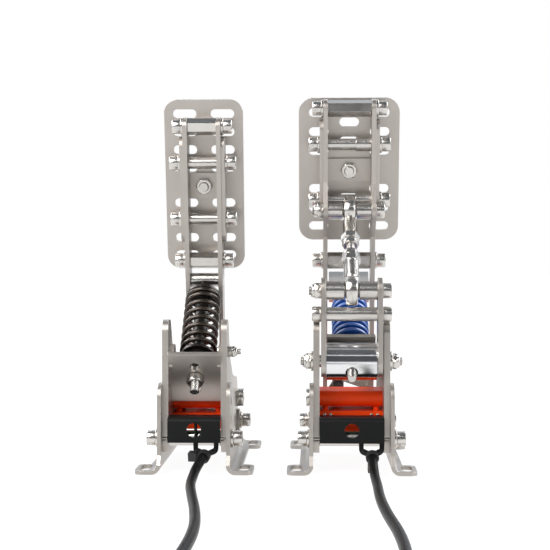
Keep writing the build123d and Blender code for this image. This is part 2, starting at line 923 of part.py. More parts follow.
# Throttle spring bracket: a plate square to the rod, with three holes and an ear on each side plate
def spring_bracket():
    half = throttle_gap / 2
    rod = rod_plane(throttle_x, rod_hole, trunnion)
    back = -spring_bracket_thickness / 2
    tall = spring_bracket_up + spring_bracket_down
    up_x = Plane(origin=rod.origin, x_dir=(-1, 0, 0), z_dir=rod.z_dir)
    with BuildPart() as piece:
        with BuildSketch(up_x.offset(back)):
            with Locations((0, (spring_bracket_up - spring_bracket_down) / 2)):
                Rectangle(throttle_gap, tall)
            for step in (-1, 1):
                with Locations((0, step * bracket_hole_pitch)):
                    Circle(bolt_radius + fit, mode=Mode.SUBTRACT)
            Circle(bolt_radius + open_pivot + running, mode=Mode.SUBTRACT)
        extrude(amount=spring_bracket_thickness)
        for start in (-half, half - sheet):
            with BuildSketch(across(throttle_x, x=start)):
                with Locations((bracket_tab_y, bracket_tab_z)):
                    Circle(tab_radius)
                with Locations(tab_root):
                    Circle(tab_radius)
                make_hull()
                with Locations((bracket_tab_y, bracket_tab_z)):
                    Circle(small_bolt_radius + fit, mode=Mode.SUBTRACT)
            extrude(amount=sheet)
    return piece


# Throttle rod: it slides through the bracket, with a nut behind it and a sleeve inside the spring
def throttle_rod():
    plane = rod_plane(throttle_x, rod_hole, trunnion)
    back = -spring_bracket_thickness / 2 - seat_gap
    with BuildPart() as piece:
        turn(plane, (
            (back - nut_height - rod_tail, rod_length, bolt_radius),
            (throttle_collar - guide_length, throttle_collar, guide_radius),
            (throttle_collar, throttle_collar + collar_height, seat_radius),
        ))
        hexagon(plane, back - nut_height, back, nut_flats)
    return piece


# Seat of the throttle spring: a bush on the bracket's front face with a wide rim
def spring_seat():
    plane = rod_plane(throttle_x, rod_hole, trunnion)
    front = spring_bracket_thickness / 2
    rim = front + seat_rise
    bore = bolt_radius + open_pivot + seat_rise * seat_bore_share
    with BuildPart() as piece:
        turn(plane, ((front, rim, spring_seat_boss), (rim, rim + seat_thickness, seat_radius)))
        turn(plane, ((front, rim + seat_thickness, bore),), Mode.SUBTRACT)
    return piece


# Trunnion: a bar between the arms with a journal in each arm and a hole for the rod
def throttle_trunnion():
    half = throttle_arm_gap / 2 - seat_gap
    face = throttle_arm_gap / 2 + arm_thickness
    axis = across(throttle_x, trunnion)
    with BuildPart() as piece:
        turn(axis, ((-half, half, trunnion_radius), (-face, face, pivot_radius)))
        hole = rod_plane(throttle_x, rod_hole, trunnion)
        turn(hole, ((rod_length - trunnion_radius - overrun, rod_length, bolt_radius),), Mode.SUBTRACT)
    return piece


# Springs: closed coils at both ends, the first of them facing along the line from start to end
def coil_spring(name, plane, outer_radius, wire, length, coils, flat=False):
    rises = spring_rises(coils, length, wire[1])
    radii = [outer_radius - wire[0] / 2] * len(rises)
    return winding(name, plane, radii, rises, wire, flat)[0]


# Rocker plates: one outline, held on the stub axles at the foot and by the turnbuckle at the top
def rocker_plate(x):
    back = rocker_y - rocker_back
    with BuildPart() as piece:
        with BuildSketch(across(brake_x, x=x)):
            with Locations(rocker_eye):
                Circle(rocker_eye_radius)
            with Locations(rocker_axis, (back, rocker_z), (back, rocker_spacer_z)):
                Circle(rocker_radius)
            make_hull()
            with Locations(rocker_axis):
                Circle(pivot_radius + running, mode=Mode.SUBTRACT)
            with Locations(rocker_eye, rocker_spacer):
                Circle(bolt_radius + fit, mode=Mode.SUBTRACT)
        extrude(amount=rocker_thickness)
    return piece


def shaft_tubes(axis, gap, half_ball):
    # Two tubes that centre a rod end between plates
    for side in (-1, 1):
        start, end = span(side, half_ball, gap / 2)
        turn(axis, ((start, end, link_tube_radius),))
        turn(axis, ((start, end, bolt_radius + fit),), Mode.SUBTRACT)


def shaft_bolt(axis, face):
    # A bolt with its head on the right and a locking nut on the left
    turn(axis, (
        (-face - lock_nut - bolt_radius / 2, face, bolt_radius),
        (face, face + bolt_head, bolt_head_radius),
    ))
    hexagon(axis, -face - lock_nut, -face, nut_flats)


# Shafts of the rocker: the turnbuckle's lower shaft, and the cross spacer with its two screws
def rocker_shafts():
    half = rocker_gap / 2
    face = half + rocker_thickness
    eye = across(brake_x, rocker_eye)
    bar = across(brake_x, rocker_spacer)
    with BuildPart() as piece:
        shaft_tubes(eye, rocker_gap, ball_width / 2 + seat_gap)
        turn(bar, ((-half, half, rocker_spacer_radius),))
        turn(bar, ((-half, -half + bolt_bite, bolt_radius + fit),), Mode.SUBTRACT)
        turn(bar, ((half - bolt_bite, half, bolt_radius + fit),), Mode.SUBTRACT)
        shaft_bolt(eye, face)
        for side in (-1, 1):
            turn(bar, (
                (*span(side, face - bolt_bite, face), bolt_radius),
                (*span(side, face, face + bolt_head), bolt_head_radius),
            ))
    return piece


# Upper shaft of the turnbuckle, in the lugs of the arms
def link_shaft():
    axis = across(brake_x, link_eye)
    with BuildPart() as piece:
        shaft_tubes(axis, brake_arm_gap, ball_width / 2 + seat_gap)
        shaft_bolt(axis, brake_arm_gap / 2 + arm_thickness)
    return piece


# Stub axles of the rocker, each with its washer and locking nut outside the side plate
def rocker_axles():
    axis = across(brake_x, rocker_axis)
    face = brake_gap / 2 + side_thickness
    barrel_half = rocker_gap / 2 - barrel_clearance
    with BuildPart() as piece:
        for side in (-1, 1):
            turn(axis, (
                (*span(side, barrel_half - barrel_journal, face), pivot_radius),
                (*span(side, face, face + stub_length), bolt_radius),
                (*span(side, face, face + washer), pivot_head_radius),
            ))
            hexagon(axis, *span(side, face + washer, face + washer + nut_height), nut_flats)
    return piece


# Barrel: turned aluminium with a journal bore in each end and a cross hole for the rod
def barrel():
    half = rocker_gap / 2 - barrel_clearance
    axis = across(brake_x, rocker_axis)
    bore = pivot_radius + running
    with BuildPart() as piece:
        turn(axis, ((-half, half, barrel_radius),))
        turn(axis, ((-half, -half + barrel_journal + seat_gap, bore),), Mode.SUBTRACT)
        turn(axis, ((half - barrel_journal - seat_gap, half, bore),), Mode.SUBTRACT)
        rod = rod_plane(brake_x, rocker_axis, block)
        turn(rod, ((-barrel_radius - overrun, barrel_radius + overrun, barrel_hole_radius),), Mode.SUBTRACT)
    return piece


def seat_plate():
    plane = rod_plane(brake_x, rocker_axis, block)
    start = barrel_radius + running
    end = start + seat_plate_thickness
    with BuildPart() as piece:
        block_between(plane, start, end, seat_plate_width, seat_plate_height)
        turn(plane, ((start, end, barrel_hole_radius),), Mode.SUBTRACT)
    return piece


# Brake rod: it slides through the barrel; its collar carries the head of the spring
def brake_rod():
    plane = rod_plane(brake_x, rocker_axis, block)
    block_front = brake_rod_length + block_length / 2
    with BuildPart() as piece:
        turn(plane, (
            (-brake_rod_tail, block_front + nut_height + bolt_radius, bolt_radius),
            (brake_spring_end + seat_gap, brake_collar_end, elastomer_radius),
        ))
        hexagon(plane, block_front, block_front + nut_height, nut_flats)
    return piece


def elastomer():
    plane = rod_plane(brake_x, rocker_axis, block)
    end = brake_rod_length - block_length / 2
    with BuildPart() as piece:
        turn(plane, ((brake_collar_end, end, elastomer_radius),))
        turn(plane, ((brake_collar_end, end, bolt_radius + fit),), Mode.SUBTRACT)
    return piece


# Block at the head of the brake spring, with a journal in each arm
def spring_block():
    plane = rod_plane(brake_x, rocker_axis, block)
    start = brake_rod_length - block_length / 2
    end = brake_rod_length + block_length / 2
    face = brake_arm_gap / 2 + arm_thickness
    with BuildPart() as piece:
        block_between(plane, start, end, brake_arm_gap - block_play - block_play, block_depth)
        turn(across(brake_x, block), ((-face, face, pivot_radius),))
        turn(plane, ((start, end, bolt_radius + running),), Mode.SUBTRACT)
    return piece


# Turnbuckle: two rod ends with their eyes across, a stud between them and a nut against each
def rod_ends():
    down = rod_plane(brake_x, link_eye, rocker_eye)
    up = rod_plane(brake_x, rocker_eye, link_eye)
    bores = ((link_eye, down, bolt_radius + running), (rocker_eye, up, bolt_radius + open_pivot))
    with BuildPart() as piece:
        for point, along, _ in bores:
            axis = across(brake_x, point)
            turn(axis, ((-eye_width / 2, eye_width / 2, eye_radius),))
            turn(axis, ((-ball_width / 2, ball_width / 2, ball_radius),))
            turn(along, ((link_tube_radius + seat_gap, rod_end_length, rod_end_radius),))
            hexagon(along, rod_end_length - collar_length, rod_end_length, collar_flats)
        for point, along, radius in bores:
            turn(across(brake_x, point), ((-ball_width, ball_width, radius),), Mode.SUBTRACT)
            turn(along, ((rod_end_length - thread_depth, rod_end_length, bolt_radius),), Mode.SUBTRACT)
    return piece


def link_stud():
    plane = rod_plane(brake_x, link_eye, rocker_eye)
    start = rod_end_length - thread_depth
    with BuildPart() as piece:
        turn(plane, ((start, link_length - start, bolt_radius),))
        hexagon(plane, rod_end_length, rod_end_length + jam_nut, nut_flats)
        hexagon(plane, link_length - rod_end_length - jam_nut, link_length - rod_end_length, nut_flats)
    return piece


# Both pedals
pedals = (
    ("throttle", throttle_x, throttle_gap, throttle_arm_gap, throttle_arm_length, throttle_route),
    ("brake", brake_x, brake_gap, brake_arm_gap, brake_arm_length, brake_route),
)
arm_heights = {
    "throttle": (trunnion_height, throttle_spacer_rise, throttle_ear_rise, throttle_ear_drop),
    "brake": (brake_block_height, brake_spacer_rise, brake_ear_rise, brake_ear_drop),
}
mounts = {
    "throttle": (throttle_web_share, throttle_web_height, throttle_bolt_shares),
    "brake": (brake_web_share, brake_web_height, brake_bolt_shares),
}
plates = {
    "throttle": (
        (throttle_plate_width, throttle_plate_height, throttle_plate_corner),
        (throttle_slot_length, throttle_slot_spread, throttle_slot_pitch, throttle_slot_rows),
    ),
    "brake": (
        (brake_plate_width, brake_plate_height, brake_plate_corner),
        (brake_slot_length, brake_slot_spread, brake_slot_pitch, brake_slot_rows),
    ),
}
for pedal, centre, gap, arm_gap, arm_length, route in pedals:
    is_brake = pedal == "brake"
    side_holes = {
        ("throttle", 1): [(bracket_tab_y, bracket_tab_z, small_bolt_radius + fit)],
        ("brake", 1): [(rocker_y, rocker_z, pivot_radius + running)],
        ("brake", -1): [(rocker_y, rocker_z, pivot_radius + running)],
    }
    axle_height, spacer_rise, ear_rise, ear_drop = arm_heights[pedal]
    spacers = (axle_height + spacer_rise, arm_length - top_spacer_drop)
    ear_low = spacers[0] + ear_rise
    ear_high = arm_length - ear_drop
    web_share, web_height, bolt_shares = mounts[pedal]
    web_centre = ear_low + web_share * (ear_high - ear_low)
    bolts = [ear_low + share * (ear_high - ear_low) for share in bolt_shares]
    lug = (lug_forward, lug_height) if is_brake else None
    for word, side in (("left", -1), ("right", 1)):
        keep(f"{pedal}_base_bracket_{word}", base_bracket(centre, side, gap))
        start = span(side, gap / 2, gap / 2 + side_thickness)[0]
        keep(f"{pedal}_side_plate_{word}", side_plate(centre, start, side_holes.get((pedal, side), [])))
        start = span(side, arm_gap / 2, arm_gap / 2 + arm_thickness)[0]
        keep(f"{pedal}_arm_{word}", arm(centre, start, arm_length, axle_height, (*spacers, *bolts), lug))
    keep(f"{pedal}_frame_fasteners", frame_fasteners(centre, gap, not is_brake))
    keep(f"{pedal}_pivot_axle", pivot_axle(centre, gap))
    keep(f"{pedal}_pivot_bush", pivot_bush(centre, gap))
    keep(f"{pedal}_pivot_ring", pivot_ring(centre, -brake_ring_set if is_brake else -throttle_ring_set))
    cell_place = (brake_cell_rear, brake_cell_top) if is_brake else (throttle_cell_rear, throttle_cell_top)
    keep(f"{pedal}_load_cell", load_cell(centre, gap, *cell_place))
    keep(f"{pedal}_electronics_cover", electronics_cover(centre, gap))
    keep(f"{pedal}_circuit_board", circuit_board(centre, gap, route))
    keep(f"{pedal}_arm_spacers", arm_spacers(centre, arm_gap, spacers, is_brake))
    web = (web_centre, web_height, ear_low, ear_high)
    keep(f"{pedal}_plate_bracket", plate_bracket(centre, arm_gap, *web, bolts))
    keep(f"{pedal}_plate_fasteners", plate_fasteners(centre, arm_gap, bolts, web_centre, is_brake))
    keep(f"{pedal}_pedal_plate", pedal_plate(centre, web_centre, *plates[pedal], is_brake))
    keep(f"{pedal}_cable", free_cable(f"{pedal} cable", centre, route))
    keep(f"{pedal}_cable_tie", cable_tie(centre, route, is_brake))
    coil, points, aims = cable_coil(f"{pedal} coil", centre, route)
    keep(f"{pedal}_cable_coil", coil)
    keep(f"{pedal}_cable_plug", cable_plug(points[-1] + aims[-1] * coil_lead, aims[-1]))

# Throttle only
keep("throttle_spring_bracket", spring_bracket())
keep("throttle_spring_seat", spring_seat())
keep("throttle_spring_rod", throttle_rod())
keep("throttle_trunnion", throttle_trunnion())
keep("throttle_spring", coil_spring(
    "throttle spring", rod_plane(throttle_x, rod_hole, trunnion).offset(throttle_spring_foot),
    throttle_spring_radius, (throttle_wire, throttle_wire), throttle_spring_length, throttle_coils,
))

# Brake only
start = rocker_gap / 2
keep("brake_rocker_left", rocker_plate(-start - rocker_thickness))
keep("brake_rocker_right", rocker_plate(start))
keep("brake_rocker_shafts", rocker_shafts())
keep("brake_rocker_axles", rocker_axles())
keep("brake_barrel", barrel())
keep("brake_seat_plate", seat_plate())
keep("brake_spring_rod", brake_rod())
keep("brake_elastomer", elastomer())
keep("brake_spring_block", spring_block())
keep("brake_spring", coil_spring(
    "brake spring", rod_plane(brake_x, rocker_axis, block).offset(brake_spring_foot),
    brake_spring_radius, (brake_wire_width, brake_wire_height), brake_spring_length, brake_coils, True,
))
keep("brake_link_shaft", link_shaft())
keep("brake_rod_ends", rod_ends())
keep("brake_link_stud", link_stud())
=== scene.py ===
import json
import math
import bmesh
import bpy
from mathutils import Matrix, Vector


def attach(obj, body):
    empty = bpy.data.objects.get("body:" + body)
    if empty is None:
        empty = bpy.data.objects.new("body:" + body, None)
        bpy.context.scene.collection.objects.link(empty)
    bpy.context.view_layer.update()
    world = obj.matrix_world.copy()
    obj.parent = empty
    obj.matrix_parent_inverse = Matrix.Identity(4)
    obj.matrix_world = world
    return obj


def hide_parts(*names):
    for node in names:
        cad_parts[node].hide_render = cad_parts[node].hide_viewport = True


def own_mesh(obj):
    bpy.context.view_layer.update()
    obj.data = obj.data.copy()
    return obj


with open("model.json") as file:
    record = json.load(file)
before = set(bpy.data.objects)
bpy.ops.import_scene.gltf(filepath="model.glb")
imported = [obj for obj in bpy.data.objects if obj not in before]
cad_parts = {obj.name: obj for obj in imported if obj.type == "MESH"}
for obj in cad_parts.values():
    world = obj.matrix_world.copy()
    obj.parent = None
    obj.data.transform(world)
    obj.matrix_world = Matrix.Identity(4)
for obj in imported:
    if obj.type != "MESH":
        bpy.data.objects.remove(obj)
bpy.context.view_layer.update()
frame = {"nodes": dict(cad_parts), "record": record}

for name in ("Cube", "Camera", "Light"):  # what an untouched start file holds
    if name in bpy.data.objects:
        bpy.data.objects.remove(bpy.data.objects[name])

mm = 0.001
throttleX = -0.052625
brakeX = 0.048875
rearTips = -0.07


def spot(pedalX, x, y, z):  # millimetres from a pedal's middle, its rear tips and the floor
    return Vector((pedalX + x * mm, rearTips + y * mm, z * mm))


# Camera: behind the pedals, at half their height, with the coils of cable below its view
view = {"place": (0.0256, -0.870, 0.138), "down": 0.73, "left": 1.85, "lens": 82.4, "sensor": 36}
camera = bpy.data.objects.new("camera", bpy.data.cameras.new("camera"))
bpy.context.scene.collection.objects.link(camera)
camera.data.sensor_width = view["sensor"]
camera.data.lens = view["lens"]
camera.location = view["place"]
camera.rotation_euler = (math.radians(90 - view["down"]), 0, math.radians(view["left"]))
bpy.context.scene.camera = camera
bpy.context.scene.view_settings.view_transform = "Standard"
print("camera stands")


# Looks
class Link:  # one output of a node, on which sums are written as sums
    def __init__(self, paint, socket):
        self.paint = paint
        self.socket = socket

    def sum(self, operation, first, second, clamp=False):
        settings = {"operation": operation, "use_clamp": clamp}
        return self.paint.node("ShaderNodeMath", settings, {0: first, 1: second})

    def __add__(self, other):
        return self.sum("ADD", self, other)

    def __sub__(self, other):
        return self.sum("SUBTRACT", self, other)

    def __rsub__(self, other):
        return self.sum("SUBTRACT", other, self)

    def __mul__(self, other):
        return self.sum("MULTIPLY", self, other)

    def held(self):  # between 0 and 1
        return self.sum("ADD", self, 0.0, clamp=True)

    def beside(self, name):  # another output of the same node
        return Link(self.paint, self.socket.node.outputs[name])


class Paint:  # the nodes of a material, or of the world
    def __init__(self, owner, place="Object"):
        owner.use_nodes = True
        self.owner = owner
        self.tree = owner.node_tree
        self.place = self.node("ShaderNodeTexCoord", out=place)

    def give(self, socket, value):
        if isinstance(value, Link):
            self.tree.links.new(value.socket, socket)
        elif socket.type == "RGBA":
            socket.default_value = (*value, 1)
        else:
            socket.default_value = value

    def node(self, kind, settings=None, sockets=None, out=0):
        made = self.tree.nodes.new(kind)
        for key, value in (settings or {}).items():
            if key == "stops":
                ramp = made.color_ramp.elements
                while len(ramp) < len(value):
                    ramp.new(0.5)
                for stop, (position, colour) in zip(ramp, value):
                    stop.position = position
                    stop.color = (*colour, 1)
            else:
                setattr(made, key, value)
        for key, value in (sockets or {}).items():
            self.give(made.inputs[key], value)
        return Link(self, made.outputs[out])

    def noise(self, scale, detail, stretch=None):
        where = self.place
        if stretch:
            where = self.node("ShaderNodeMapping", {}, {"Vector": where, "Scale": stretch})
        sockets = {"Vector": where, "Scale": scale, "Detail": detail}
        return self.node("ShaderNodeTexNoise", {}, sockets)

    def blend(self, factor, first, second):  # colours
        sockets = {0: factor, 6: first, 7: second}
        return self.node("ShaderNodeMix", {"data_type": "RGBA"}, sockets, out=2)

    def edges(self, radius):  # rounded normals, and a mask that is 1 on edges, for wear and for painted highlights
        edge = {"samples": 4, "contrast": 9.0}
        soft = self.node("ShaderNodeBevel", {"samples": edge["samples"]}, {"Radius": radius})
        flat = self.node("ShaderNodeNewGeometry", out="Normal")
        settings = {"operation": "DOT_PRODUCT"}
        dot = self.node("ShaderNodeVectorMath", settings, {0: soft, 1: flat}, out="Value")
        return soft, ((1 - dot) * edge["contrast"]).held()

    def bump(self, height, distance, normal=None):
        sockets = {"Height": height, "Distance": distance, "Strength": 1.0}
        if normal:
            sockets["Normal"] = normal
        return self.node("ShaderNodeBump", {}, sockets)

    def finish(self, **sockets):
        names = {
            "colour": "Base Color", "coat": "Coat Weight", "coatRoughness": "Coat Roughness",
            "ior": "IOR",
        }
        shader = self.tree.nodes["Principled BSDF"]
        for key, value in sockets.items():
            self.give(shader.inputs[names.get(key, key.capitalize())], value)
        return self.owner


def surface(name, look):  # metal, paint or plastic: clouds, a fine grain and lightened edges, which are wear on most looks and a painted highlight on the blue spring
    every = {"cloudDetail": 4.0, "grainDetail": 2.0, "polish": 0.08, "coatRoughness": 0.15}
    paint = Paint(bpy.data.materials.new(name))
    # The edge mask lightens edges toward the bright colour: wear on most looks, a painted highlight on
    # the blue spring
    soft, wornAndHighlit = paint.edges(look["edge"] * mm)
    clouds = paint.noise(look["clouds"], every["cloudDetail"])
    grain = paint.noise(look["grain"], every["grainDetail"], look.get("stretch"))
    body = paint.blend(clouds, look["shade"], look["colour"])
    varied = (clouds - 0.5) * look["patchy"] + look["roughness"] + (grain - 0.5) * look["grainy"]
    return paint.finish(
        colour=paint.blend(wornAndHighlit * look["wearAndHighlight"], body, look["bright"]),
        metallic=look["metallic"],
        roughness=(varied - wornAndHighlit * every["polish"]).held(),
        normal=paint.bump(grain, look["depth"] * mm, soft),
        coat=look.get("coat", 0.0),
        coatRoughness=every["coatRoughness"],
        ior=look.get("ior", 1.5),
    )


blasted = surface("beadBlastedSteel", {
    "colour": (0.52, 0.488, 0.455), "shade": (0.44, 0.408, 0.378), "bright": (0.68, 0.65, 0.62),
    "metallic": 1.0, "roughness": 0.40, "patchy": 0.10, "grainy": 0.16, "clouds": 42, "grain": 1900,
    "depth": 0.012, "edge": 0.35, "wearAndHighlight": 0.6,
})
bright = surface("brightZinc", {
    "colour": (0.69, 0.668, 0.64), "shade": (0.60, 0.578, 0.55), "bright": (0.82, 0.80, 0.78),
    "metallic": 1.0, "roughness": 0.24, "patchy": 0.10, "grainy": 0.05, "clouds": 160, "grain": 900,
    "depth": 0.004, "edge": 0.2, "wearAndHighlight": 0.5,
})
turnedBar = surface("turnedAluminium", {
    "colour": (0.77, 0.78, 0.79), "shade": (0.71, 0.72, 0.73), "bright": (0.95, 0.95, 0.95),
    "metallic": 1.0, "roughness": 0.13, "patchy": 0.05, "grainy": 0.10, "clouds": 60, "grain": 260,
    "depth": 0.002, "edge": 0.35, "wearAndHighlight": 0.4, "stretch": (14.0, 0.4, 0.4),
})
milled = surface("milledAluminium", {
    "colour": (0.74, 0.735, 0.73), "shade": (0.66, 0.655, 0.65), "bright": (0.86, 0.86, 0.86),
    "metallic": 1.0, "roughness": 0.30, "patchy": 0.08, "grainy": 0.12, "clouds": 60, "grain": 420,
    "depth": 0.004, "edge": 0.3, "wearAndHighlight": 0.5, "stretch": (0.3, 6.0, 6.0),
})
anodised = surface("redAnodised", {
    "colour": (0.96, 0.078, 0.006), "shade": (0.86, 0.048, 0.003), "bright": (0.96, 0.16, 0.04),
    "metallic": 0.05, "roughness": 0.36, "patchy": 0.06, "grainy": 0.08, "clouds": 50, "grain": 1500,
    "depth": 0.004, "edge": 0.3, "wearAndHighlight": 0.4, "ior": 1.3,
})
coverBlack = surface("blackPaintedCover", {
    "colour": (0.008, 0.0083, 0.0087), "shade": (0.005, 0.0053, 0.0056), "bright": (0.05, 0.05, 0.052),
    "metallic": 0.0, "roughness": 0.46, "patchy": 0.08, "grainy": 0.18, "clouds": 50, "grain": 1300,
    "depth": 0.012, "edge": 0.3, "wearAndHighlight": 0.7, "ior": 1.24,
})
darkSpring = surface("darkSpringSteel", {
    "colour": (0.085, 0.070, 0.058), "shade": (0.050, 0.041, 0.034), "bright": (0.26, 0.22, 0.19),
    "metallic": 0.9, "roughness": 0.27, "patchy": 0.10, "grainy": 0.08, "clouds": 120, "grain": 1200,
    "depth": 0.004, "edge": 0.1, "wearAndHighlight": 0.3, "coat": 0.25,
})
# The blue spring's near-white edge colour, wide and strong, paints white highlight arcs along the
# coils' edges
blueSpring = surface("bluePaintedSpring", {
    "colour": (0.008, 0.085, 0.37), "shade": (0.005, 0.055, 0.27), "bright": (0.60, 0.70, 0.85),
    "metallic": 0.1, "roughness": 0.30, "patchy": 0.08, "grainy": 0.10, "clouds": 120, "grain": 900,
    "depth": 0.006, "edge": 0.55, "wearAndHighlight": 0.9, "coat": 0.5,
})
mouldedBlack = surface("mouldedBlackPlastic", {
    "colour": (0.014, 0.014, 0.0145), "shade": (0.010, 0.010, 0.0105), "bright": (0.04, 0.04, 0.042),
    "metallic": 0.0, "roughness": 0.46, "patchy": 0.08, "grainy": 0.14, "clouds": 90, "grain": 1500,
    "depth": 0.010, "edge": 0.2, "wearAndHighlight": 0.5,
})
jacket = surface("cableJacket", {
    "colour": (0.007, 0.007, 0.0074), "shade": (0.004, 0.004, 0.0044), "bright": (0.04, 0.04, 0.04),
    "metallic": 0.0, "roughness": 0.36, "patchy": 0.12, "grainy": 0.12, "clouds": 70, "grain": 700,
    "depth": 0.008, "edge": 0.1, "wearAndHighlight": 0.1, "ior": 1.22,
})
elastomerBlack = surface("blackElastomer", {
    "colour": (0.022, 0.021, 0.021), "shade": (0.015, 0.0145, 0.0145), "bright": (0.05, 0.05, 0.05),
    "metallic": 0.0, "roughness": 0.55, "patchy": 0.12, "grainy": 0.14, "clouds": 90, "grain": 1100,
    "depth": 0.010, "edge": 0.3, "wearAndHighlight": 0.3,
})
# Dark steel for the throttle spring's guide and seat, which keeps the inside of the spring dark
guideDark = surface("darkGuide", {
    "colour": (0.045, 0.040, 0.037), "shade": (0.028, 0.025, 0.023), "bright": (0.16, 0.14, 0.13),
    "metallic": 0.8, "roughness": 0.32, "patchy": 0.1, "grainy": 0.1, "clouds": 160, "grain": 900,
    "depth": 0.004, "edge": 0.2, "wearAndHighlight": 0.4,
})


def boardLook():  # green lacquer over copper tracks
    look = {
        "lacquer": (0.012, 0.075, 0.032), "pale": (0.015, 0.095, 0.04), "tracks": (0.03, 0.16, 0.07),
        "scale": 260.0, "trackWidth": 0.03, "grain": 600, "roughness": 0.2, "grainy": 0.15,
        "coat": 0.5, "coatRoughness": 0.1, "depth": 0.01,
    }
    paint = Paint(bpy.data.materials.new("lacqueredBoard"))
    tracks = paint.node("ShaderNodeTexBrick", {"offset": 0.5}, {
        "Vector": paint.place, "Scale": look["scale"], "Mortar Size": look["trackWidth"],
        "Color1": look["lacquer"], "Color2": look["pale"], "Mortar": look["tracks"],
    })
    grain = paint.noise(look["grain"], 3.0)
    return paint.finish(
        colour=tracks, roughness=grain * look["grainy"] + look["roughness"], coat=look["coat"],
        coatRoughness=look["coatRoughness"], normal=paint.bump(grain, look["depth"] * mm),
    )


looks = {
    "steel_plate": blasted, "bright_steel": bright, "aluminium": milled, "red_anodised": anodised,
    "black_metal": coverBlack, "dark_spring": darkSpring, "blue_spring": blueSpring,
    "black_plastic": mouldedBlack, "cable_jacket": jacket, "circuit_board": boardLook(),
    "elastomer": elastomerBlack,
}
for part in frame["record"]["subparts"]:
    shown = frame["nodes"][part["node"]]
    shown.data.materials.clear()
    shown.data.materials.append(looks[part["material_slot"]])
    for polygon in shown.data.polygons:
        polygon.material_index = 0
frame["nodes"]["brake_barrel"].data.materials[0] = turnedBar
frame["nodes"]["throttle_spring_seat"].data.materials[0] = guideDark
boardRear = 9.99  # the leads, on the same node as the board, lie nearer to the rear tips
for pedal in ("throttle", "brake"):
    shown = frame["nodes"][pedal + "_circuit_board"]
    shown.data.materials.append(jacket)
    for polygon in shown.data.polygons:
        if polygon.center.y < rearTips + boardRear * mm:
            polygon.material_index = 1
print("looks are made")


# Turned and hexagonal forms
def lineUp(origin, direction, twist=0.0):  # a frame whose z runs along the direction
    z = Vector(direction).normalized()
    x = Vector((1, 0, 0)) if abs(z.x) < 0.9 else Vector((0, 1, 0))
    x = (x - z * x.dot(z)).normalized()
    turned = Matrix((x, z.cross(x), z)).transposed().to_4x4()
    return Matrix.Translation(origin) @ turned @ Matrix.Rotation(math.radians(twist), 4, "Z")


def shifted(place, along):
    return place @ Matrix.Translation((0, 0, along * mm))


turnedRound = Matrix.Rotation(math.pi, 4, "X")


def shapeRing(loop, ring):  # a ring is its height and radius, and the flats that cut it to a hexagon
    along, radius = ring[0] * mm, ring[1] * mm
    for index, vertex in enumerate(loop):
        angle = math.tau * index / len(loop)
        reach = radius
        if len(ring) > 2:
            reach = min(radius, ring[2] * mm / 2 / math.cos(angle % (math.pi / 3) - math.pi / 6))
        vertex.co = (reach * math.cos(angle), reach * math.sin(angle), along)


def loft(bm, place, rings, sides=24, hollow=False):
    # The last ring closes on the first where the form is a tube
    start = bmesh.ops.create_circle(bm, segments=sides, radius=mm)["verts"]
    loop = list(start)
    shapeRing(loop, rings[0])
    made = list(start)
    for ring in rings[1:]:
        edges = []
        for before, vertex in zip(loop[-1:] + loop[:-1], loop):
            edges.append(next(e for e in before.link_edges if e.other_vert(before) is vertex))
        out = bmesh.ops.extrude_edge_only(bm, edges=edges)["geom"]
        fresh = {v for v in out if isinstance(v, bmesh.types.BMVert)}
        loop = [next(e.other_vert(v) for e in v.link_edges if e.other_vert(v) in fresh) for v in loop]
        shapeRing(loop, ring)
        made += loop
    if hollow:
        ends = [e for e in {e for v in start + loop for e in v.link_edges} if len(e.link_faces) == 1]
        bmesh.ops.bridge_loops(bm, edges=ends)
    else:
        bmesh.ops.contextual_create(bm, geom=start)
        bmesh.ops.contextual_create(bm, geom=loop)
    faces = list({f for v in made for f in v.link_faces})
    bmesh.ops.recalc_face_normals(bm, faces=faces)
    bmesh.ops.transform(bm, matrix=place, verts=made)


def rod(bm, place, start, end, radius, sides=32):
    loft(bm, place, ((start, radius), (end, radius)), sides)


def tube(bm, place, start, end, outer, inner, sides=32, chamfer=0.3):
    loft(bm, place, (
        (start, inner), (start, outer - chamfer), (start + chamfer, outer), (end - chamfer, outer),
        (end, outer - chamfer), (end, inner),
    ), sides, hollow=True)


def threaded(bm, place, start, end, radius, pitch=1.0, tip=True):
    share = {"root": 0.87, "last": 0.95, "tip": 0.80, "run": 0.4}
    rings = [(start, radius)]
    for step in range(int((end - start) / pitch)):
        foot = start + step * pitch
        rings += [
            (foot + pitch * 0.1, radius), (foot + pitch * 0.5, radius * share["root"]),
            (foot + pitch * 0.9, radius),
        ]
    rings.append((end - share["run"], radius * share["last"]))
    rings.append((end, radius * share["tip" if tip else "last"]))
    loft(bm, place, rings, 24)


def washer(bm, place, height, outer, inner):
    tube(bm, place, 0.0, height, outer, inner, 40, 0.2)


def capScrew(bm, place, screw):  # on its washer, with a hexagonal socket in its rounded head
    low = screw["washer"]
    top = low + screw["head"]
    if low:
        washer(bm, place, low, screw["washerRadius"], screw["radius"])
    across = screw["socket"]
    inside = across * 0.58
    wide = screw["headRadius"]
    loft(bm, place, (
        (low, wide - 0.5), (low + 0.25, wide - 0.1), (low + 0.7, wide), (top - 0.9, wide),
        (top - 0.35, wide - 0.12), (top, wide - 0.6), (top, across * 0.64),
        (top - 0.35, inside, across), (top - screw["deep"], inside, across),
        (top - screw["deep"] - 0.8, 0.5),
    ), 48)


cornerShare = 0.577  # of a hexagon's flats, out to its corners


